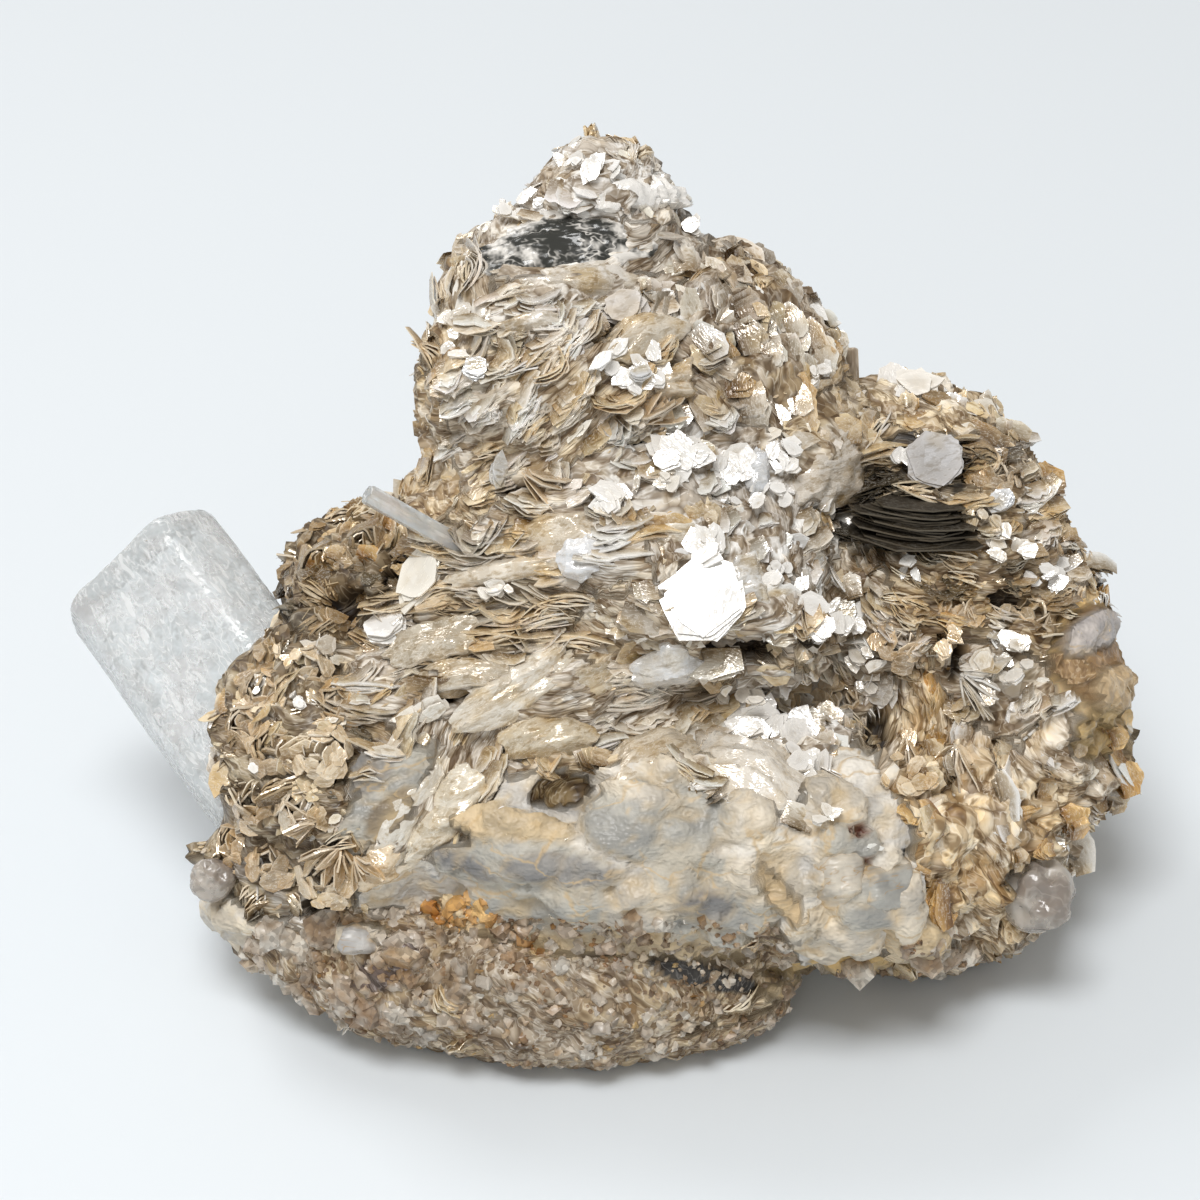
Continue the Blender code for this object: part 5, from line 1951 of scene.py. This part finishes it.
def softbox(name, place, size, power):
    """White area lamp that points at the specimen's middle."""
    lamp = bpy.data.lights.new(name, "AREA")
    lamp.shape = "RECTANGLE"
    lamp.size, lamp.size_y = size
    lamp.energy = power
    holder = shown_object(name, lamp)
    holder.location = place
    holder.rotation_euler = (Vector(MIDDLE * MM) - Vector(place)).to_track_quat("-Z", "Y").to_euler()


def build_stage():
    """Pale floor, lamps, dim surrounding light and the camera."""
    mesh = bpy.data.meshes.new("floor")
    corners = [(x * FLOOR_REACH, y * FLOOR_REACH, 0) for x, y in ((-1, -1), (1, -1), (1, 1), (-1, 1))]
    mesh.from_pydata(corners, [], [(0, 1, 2, 3)])
    mesh.materials.append(plain_finish("floor", FLOOR_COLOUR, 0.75))
    floor = shown_object("floor", mesh)
    for lamp in LAMPS:
        softbox(*lamp)
    world = bpy.data.worlds.new("studio")
    bpy.context.scene.world = world
    world.use_nodes = True
    sky = world.node_tree.nodes["Background"]
    feed(world.node_tree, sky, {"Color": SKY_COLOUR, "Strength": SKY_STRENGTH})
    bpy.context.scene.view_settings.view_transform = "Standard"

    lens = bpy.data.cameras.new("camera")
    lens.lens = LENS
    lens.sensor_width = SENSOR
    lens.clip_start = 0.01
    camera = shown_object("camera", lens)
    turn = Matrix((Vector(ACROSS), Vector(UP), Vector(OUT))).transposed().to_4x4()
    camera.matrix_world = Matrix.Translation(Vector((MIDDLE + OUT * DISTANCE) * MM)) @ turn
    bpy.context.scene.camera = camera


# ---------------------------------------------------------------- tables of the features

WHITE, PEARL, SILVER, CREAM, TAN = ((0.95, 0.93, 0.895), (0.89, 0.85, 0.78), (0.72, 0.68, 0.62),
                                    (0.91, 0.76, 0.55), (0.72, 0.56, 0.37))
BLUISH, BROWN = (0.66, 0.68, 0.71), (0.38, 0.28, 0.16)
DARK, BLACK = (0.13, 0.105, 0.065), (0.030, 0.023, 0.014)

MICA_SHEETS = [
    patch([(506, 304), (655, 298), (645, 264), (512, 268)], SILVER, rough=0.6),
    patch([(440, 338), (490, 332), (500, 240), (456, 236)], PEARL, grain=78),
    patch([(500, 334), (562, 325), (552, 306), (508, 312)], SILVER, lift=1.8, bulge=0.6, ripple=0.05,
          step=0.0),
    patch([(596, 356), (694, 342), (686, 300), (612, 320)], (0.70, 0.63, 0.52), bulge=1.5, grain=18,
          step=0.5),
    patch([(657, 404), (698, 399), (696, 364), (661, 366)], (0.74, 0.65, 0.52), lift=2.0, wave=0.9, sides=4),
    patch([(793, 522), (870, 508), (872, 404), (797, 412)], (0.70, 0.64, 0.56), bulge=1.4, rough=0.9),
    patch([(512, 562), (604, 548), (600, 498), (518, 505)], (0.76, 0.69, 0.58), wave=2.6, grain=8,
          ragged=0.08),
    patch([(553, 588), (601, 583), (604, 532), (556, 536)], (0.80, 0.81, 0.83), lift=1.8, rough=0.8,
          ragged=0.09),
    patch([(436, 594), (562, 573), (556, 552), (440, 562)], (0.78, 0.71, 0.60), lift=2.0, grain=6),
    patch([(398, 690), (502, 677), (503, 650), (402, 658)], (0.62, 0.55, 0.44), lift=1.8, grain=5),
    patch([(618, 697), (714, 692), (706, 652), (640, 650)], (0.72, 0.73, 0.74), lift=2.0, grain=20),
    patch([(508, 700), (622, 706), (640, 655), (540, 648)], (0.65, 0.59, 0.48), wave=1.6, grain=32, step=0.5),
    patch([(728, 602), (768, 592), (762, 550), (728, 552)], (0.70, 0.69, 0.67), lift=1.8, sides=4, step=0.0),
    patch([(745, 492), (775, 488), (770, 446), (750, 444)], (0.70, 0.72, 0.75), lift=2.0, sides=5, step=0.0),
    patch([(346, 872), (392, 906), (462, 752), (402, 728)], (0.80, 0.76, 0.68), bulge=1.8, ripple=0.4,
          wave=1.6, grain=58, step=0.6),
    patch([(440, 742), (560, 716), (592, 640), (470, 668)], (0.80, 0.75, 0.66), bulge=1.2, ripple=0.35,
          wave=1.4, grain=28, step=0.5),
    patch([(378, 668), (470, 648), (478, 606), (392, 622)], (0.58, 0.52, 0.42), lift=1.8, grain=8, step=0.6),
    patch([(392, 862), (420, 884), (510, 790), (452, 755)], (0.82, 0.76, 0.64), bulge=1.5, ripple=0.4,
          wave=1.5, grain=50, step=0.6),
    patch([(500, 762), (600, 750), (600, 712), (505, 716)], (0.68, 0.60, 0.46), bulge=1.2, grain=22,
          step=0.5),
    patch([(600, 790), (700, 760), (690, 715), (600, 738)], (0.66, 0.58, 0.46), bulge=1.2, grain=15,
          step=0.5),
    patch([(688, 800), (812, 812), (800, 735), (700, 722)], (0.86, 0.81, 0.73), bulge=1.6, ripple=0.4,
          wave=1.6, rough=0.8, grain=-28, step=0.6, ragged=0.09),
    patch([(350, 905), (408, 880), (392, 850), (340, 868)], CREAM, bulge=1.0, grain=-30, step=0.4),
]

FLUTED_SHEETS = [
    patch([(602, 218), (694, 214), (684, 172), (612, 176)], WHITE, lift=3.0, bulge=0.8, ripple=0.34, wave=1.0,
          grain=90, step=0.0, ragged=0.10),
]

SMOKY_SHEETS = [
    patch([(470, 278), (652, 272), (642, 202), (490, 208)], DARK, lift=2.2, bulge=0.5, ripple=0.25, rough=0.5,
          step=0.3, ragged=0.12),
]

ALBITE_LUMPS = [
    lump([(806, 915), (884, 915), (884, 830), (806, 838)], MILK, 0.9, 1.0),
    lump([(850, 936), (934, 926), (924, 846), (854, 850)], ICE, 1.0, 1.2),
    lump([(870, 984), (944, 972), (938, 904), (878, 912)], CREAMY, 1.6, 1.2),
    lump([(326, 966), (384, 964), (380, 916), (332, 918)], (0.60, 0.58, 0.55), 1.4, 0.8),
]

ROSE_FRONT = (-0.25, 0.25, 0.95)
ROSETTES = [
    (262, 690, 3.6, 24, ROSE_FRONT, TAN), (304, 662, 3.2, 20, ROSE_FRONT, CREAM),
    (334, 702, 3.4, 22, ROSE_FRONT, TAN), (270, 742, 3.4, 22, ROSE_FRONT, TAN),
    (316, 748, 3.6, 24, ROSE_FRONT, CREAM), (252, 800, 3.2, 20, ROSE_FRONT, TAN),
    (300, 806, 3.4, 22, ROSE_FRONT, CREAM), (268, 858, 3.2, 20, ROSE_FRONT, TAN),
    (322, 878, 3.4, 20, ROSE_FRONT, CREAM), (238, 720, 2.8, 18, (-0.6, 0.2, 0.8), TAN),
    (228, 840, 3.0, 18, (-0.6, 0.2, 0.8), TAN), (318, 560, 3.6, 24, (-0.4, 0.5, 0.8), BROWN),
    (362, 540, 3.4, 22, (-0.3, 0.5, 0.8), BROWN), (330, 605, 3.4, 22, ROSE_FRONT, BROWN),
    (376, 588, 3.0, 18, ROSE_FRONT, BROWN), (300, 622, 2.8, 18, ROSE_FRONT, TAN),
    (958, 600, 3.0, 20, (0.1, 0.5, 0.8), TAN), (1080, 556, 3.2, 20, (0.4, 0.4, 0.8), TAN),
    (1040, 610, 3.0, 18, (0.3, 0.3, 0.9), CREAM), (905, 640, 3.0, 18, (0.2, 0.2, 0.9), TAN),
    (1000, 470, 3.0, 18, (0.2, 0.6, 0.8), TAN), (845, 700, 3.0, 18, (0.2, 0.2, 0.9), CREAM),
]
FANS = [
    (342, 846, 185, 300, 13, 6.5, TAN), (352, 856, 285, 340, 10, 5.5, TAN),
    (318, 820, 150, 230, 12, 5.0, TAN), (958, 672, 285, 390, 18, 8.0, PEARL),
    (640, 425, 10, 70, 12, 7.0, TAN), (520, 470, 300, 350, 12, 8.0, TAN),
    (905, 735, 240, 300, 14, 8.5, CREAM), (955, 740, 240, 300, 14, 9.0, CREAM),
    (690, 600, 215, 265, 10, 5.0, CREAM),
]

FRONT_FACING = np.array([-0.05, 0.3, 0.95])
CLUSTERS = [
    (632, 366, 34, 27, 13, 17, WHITE), (672, 455, 26, 13, 8, 24, WHITE), (731, 458, 18, 15, 6, 19, WHITE),
    (623, 496, 26, 13, 7, 20, WHITE), (706, 541, 22, 13, 6, 19, WHITE), (656, 482, 30, 13, 7, 9, PEARL),
    (762, 500, 36, 16, 8, 13, WHITE), (819, 374, 12, 12, 4, 12, WHITE), (785, 452, 16, 18, 7, 13, WHITE),
    (785, 578, 20, 13, 6, 17, WHITE), (836, 612, 26, 30, 9, 18, WHITE), (866, 668, 18, 22, 6, 13, PEARL),
    (576, 166, 24, 14, 7, 13, WHITE), (522, 206, 20, 13, 6, 13, WHITE), (690, 222, 16, 12, 4, 12, WHITE),
    (454, 330, 14, 24, 7, 14, PEARL), (775, 722, 30, 16, 9, 24, WHITE), (800, 765, 22, 18, 7, 20, WHITE),
    (742, 694, 22, 12, 5, 12, PEARL), (822, 805, 16, 14, 4, 13, PEARL), (900, 386, 28, 12, 6, 18, WHITE),
    (905, 454, 16, 12, 5, 13, WHITE), (1006, 546, 26, 15, 6, 15, PEARL), (1044, 572, 22, 15, 6, 14, WHITE),
    (986, 518, 24, 14, 6, 13, SILVER), (262, 765, 10, 10, 3, 9, WHITE), (300, 700, 10, 10, 3, 8, WHITE),
    (285, 655, 14, 10, 4, 10, CREAM), (257, 685, 12, 12, 4, 10, PEARL), (1006, 662, 26, 24, 9, 17, PEARL),
    (1072, 700, 10, 8, 2, 9, WHITE), (912, 565, 14, 10, 3, 10, WHITE), (500, 585, 34, 12, 6, 13, PEARL),
    (400, 622, 12, 8, 3, 11, WHITE), (905, 762, 30, 34, 8, 13, CREAM), (955, 640, 20, 14, 5, 12, CREAM),
]
CHOSEN = [
    plate(938, 398, 18, 10, -18, (0.0, 0.6, 0.7), BROWN, 1.8),
    plate(1000, 500, 18, 13, 40, (0.0, 0.4, 0.9), BLUISH, 2.0),
    plate(500, 470, 10, 20, 0, (0.5, 0.2, 0.8), (0.62, 0.62, 0.61), 2.0),
    plate(474, 367, 15, 13, 10, FRONT_FACING, BLUISH, 1.8),
    plate(640, 371, 12, 9, 20, (0.1, 0.5, 0.8), BLUISH, 2.6),
    plate(985, 690, 22, 11, -75, FRONT_FACING, SILVER, 2.2),
]

NODE_PLATES = {
    "bright_mica_plate": plate(0, 0, 44, 38, 76, (-0.05, 0.30, 0.95), WHITE, layers=5, thickness=0.22,
                               ragged=0.12),
    "grey_mica_plate": plate(0, 0, 23, 19, 5, (-0.15, 0.35, 0.92), (0.60, 0.58, 0.57), layers=4,
                             thickness=0.3),
    "sail_mica_plate": plate(0, 0, 34, 22, 62, (-0.30, 0.30, 0.90), (0.93, 0.89, 0.80), layers=4,
                             thickness=0.3),
    "left_mica_book": plate(0, 0, 22, 16, 10, (-0.25, 0.45, 0.86), WHITE, layers=8, thickness=0.28),
    "hexagonal_mica_plate": plate(0, 0, 30, 30, 15, (0.02, 0.08, 0.99), (0.46, 0.45, 0.45), layers=4,
                                  thickness=0.22, ragged=0.06),
    "dark_mica_book": plate(0, 0, 52, 30, 0, (0.04, 0.96, 0.26), BLACK, layers=16, thickness=0.206),
    "lobe_top_mica_book": plate(0, 0, 24, 17, -15, (-0.10, 0.50, 0.86), PEARL, layers=5, thickness=0.28),
}


def node_rows():
    """The named plates' rows, each placed at the outer face of its own node's box."""
    rows = {}
    for name, own in NODE_PLATES.items():
        low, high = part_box(name)
        middle = (np.array(low) + np.array(high)) / 2 / MM
        facing = unit(own["facing"]) @ LAYOUT
        rows[name] = {**own, "place": middle + facing * own["layers"] * own["thickness"] * 0.6}
    return rows


# ---------------------------------------------------------------- build

ROCK = build_rock(rock_finish())
FRONT = front_map(*mesh_arrays(ROCK.data))
NODE_ROWS = node_rows()
FEATURES = (features_of(MICA_SHEETS + FLUTED_SHEETS + SMOKY_SHEETS + ALBITE_LUMPS)
            + plate_features(CHOSEN) + plate_features(NODE_ROWS.values())
            + [(*row[:4], 0.0, float(seen_at(*row[:2])) + 1.0) for row in CLUSTERS]
            + [(*row[:5], float(seen_at(*row[:2])) + 1.0) for row in MASSES if row[5] < 0])
MICA = mica_finish("mica", 1.0)
SMOOTH = mica_finish("mica_smooth", 0.15)
CLOUDED = mica_finish("mica_clouded", 0.3, 0.0)
CLOUDED_NODES = ("hexagonal_mica_plate", "dark_mica_book", "grey_mica_plate")
build_books(ROCK, MICA)
build_sheaves(ROCK, MICA)

build_patches("mica_sheets", MICA_SHEETS, MICA, 400)
build_patches("fluted_sheet", FLUTED_SHEETS, MICA, 500, ("fluted_mica_plate",))
build_patches("smoky_sheet", SMOKY_SHEETS, smoky_finish(), 510, ("smoky_mica_book",))
ROSE_RNG = np.random.default_rng(19)
PETALS, BLADES = rosette_plates(ROSETTES, ROSE_RNG), fan_plates(FANS, ROSE_RNG)
build_plates("mica_rosettes", [(PETALS, 8, 2), (BLADES, 8, 2)], MICA)
build_grains(ROCK, grain_finish())
build_patches("albite_lumps", ALBITE_LUMPS, albite_finish(), 600)
FACES_RNG = np.random.default_rng(3)
BOOKS = spread_books(CHOSEN, FACES_RNG)
FACES = spread_books(cluster_rows(CLUSTERS, FACES_RNG), FACES_RNG)
build_plates("mica_faces", [(BOOKS, 12, 2), (FACES, 9, 1)], MICA)
for node_name, row in NODE_ROWS.items():
    made = spread_books([row], np.random.default_rng(len(node_name)))
    own_finish = CLOUDED if node_name in CLOUDED_NODES else SMOOTH
    build_plates(node_name + "_leaves", [(made, 24, 2)], own_finish, (node_name,))

AQUA = glass_finish("aquamarine", (1.0, 1.0, 1.0), (0.94, 0.985, 1.0), BERYL_IOR, rough=0.09,
                    absorbs=(0.88, 0.97, 0.985), density=1.3, clear=0.62, size=(300.0, 420.0, 180.0))
SIDES = build_aquamarine(AQUA, veil_finish("frost", (0.20, 0.52, 0.52), 0.56, 0.55))
build_veils(SIDES, veil_finish("veil", (0.34, 1.3, 1.4), 0.52, 0.95))
build_flecks(SIDES, fleck_finish())
CLEAR = glass_finish("clear_beryl", (1.0, 1.0, 1.0), (0.92, 0.95, 0.95), BERYL_IOR, rough=0.04,
                     absorbs=(0.86, 0.88, 0.88), density=8.0, clear=0.72, size=(400.0, 400.0, 120.0))
build_prism("clear_prism", "beryl_prism", CLEAR, 5)
build_prism("tan_prism_lined", "tan_prism", tan_prism_finish(), 6)
QUARTZ = glass_finish("quartz", (0.80, 0.74, 0.66), (0.44, 0.38, 0.33), QUARTZ_IOR, rough=0.10,
                      absorbs=(0.70, 0.64, 0.56), density=60.0, clear=0.45, size=(260.0, 260.0, 420.0))
for number, node_name in enumerate(("right_quartz_lump", "left_quartz_lump")):
    build_boulder(node_name + "_glassy", node_name, QUARTZ, 700 + number)

build_stage()
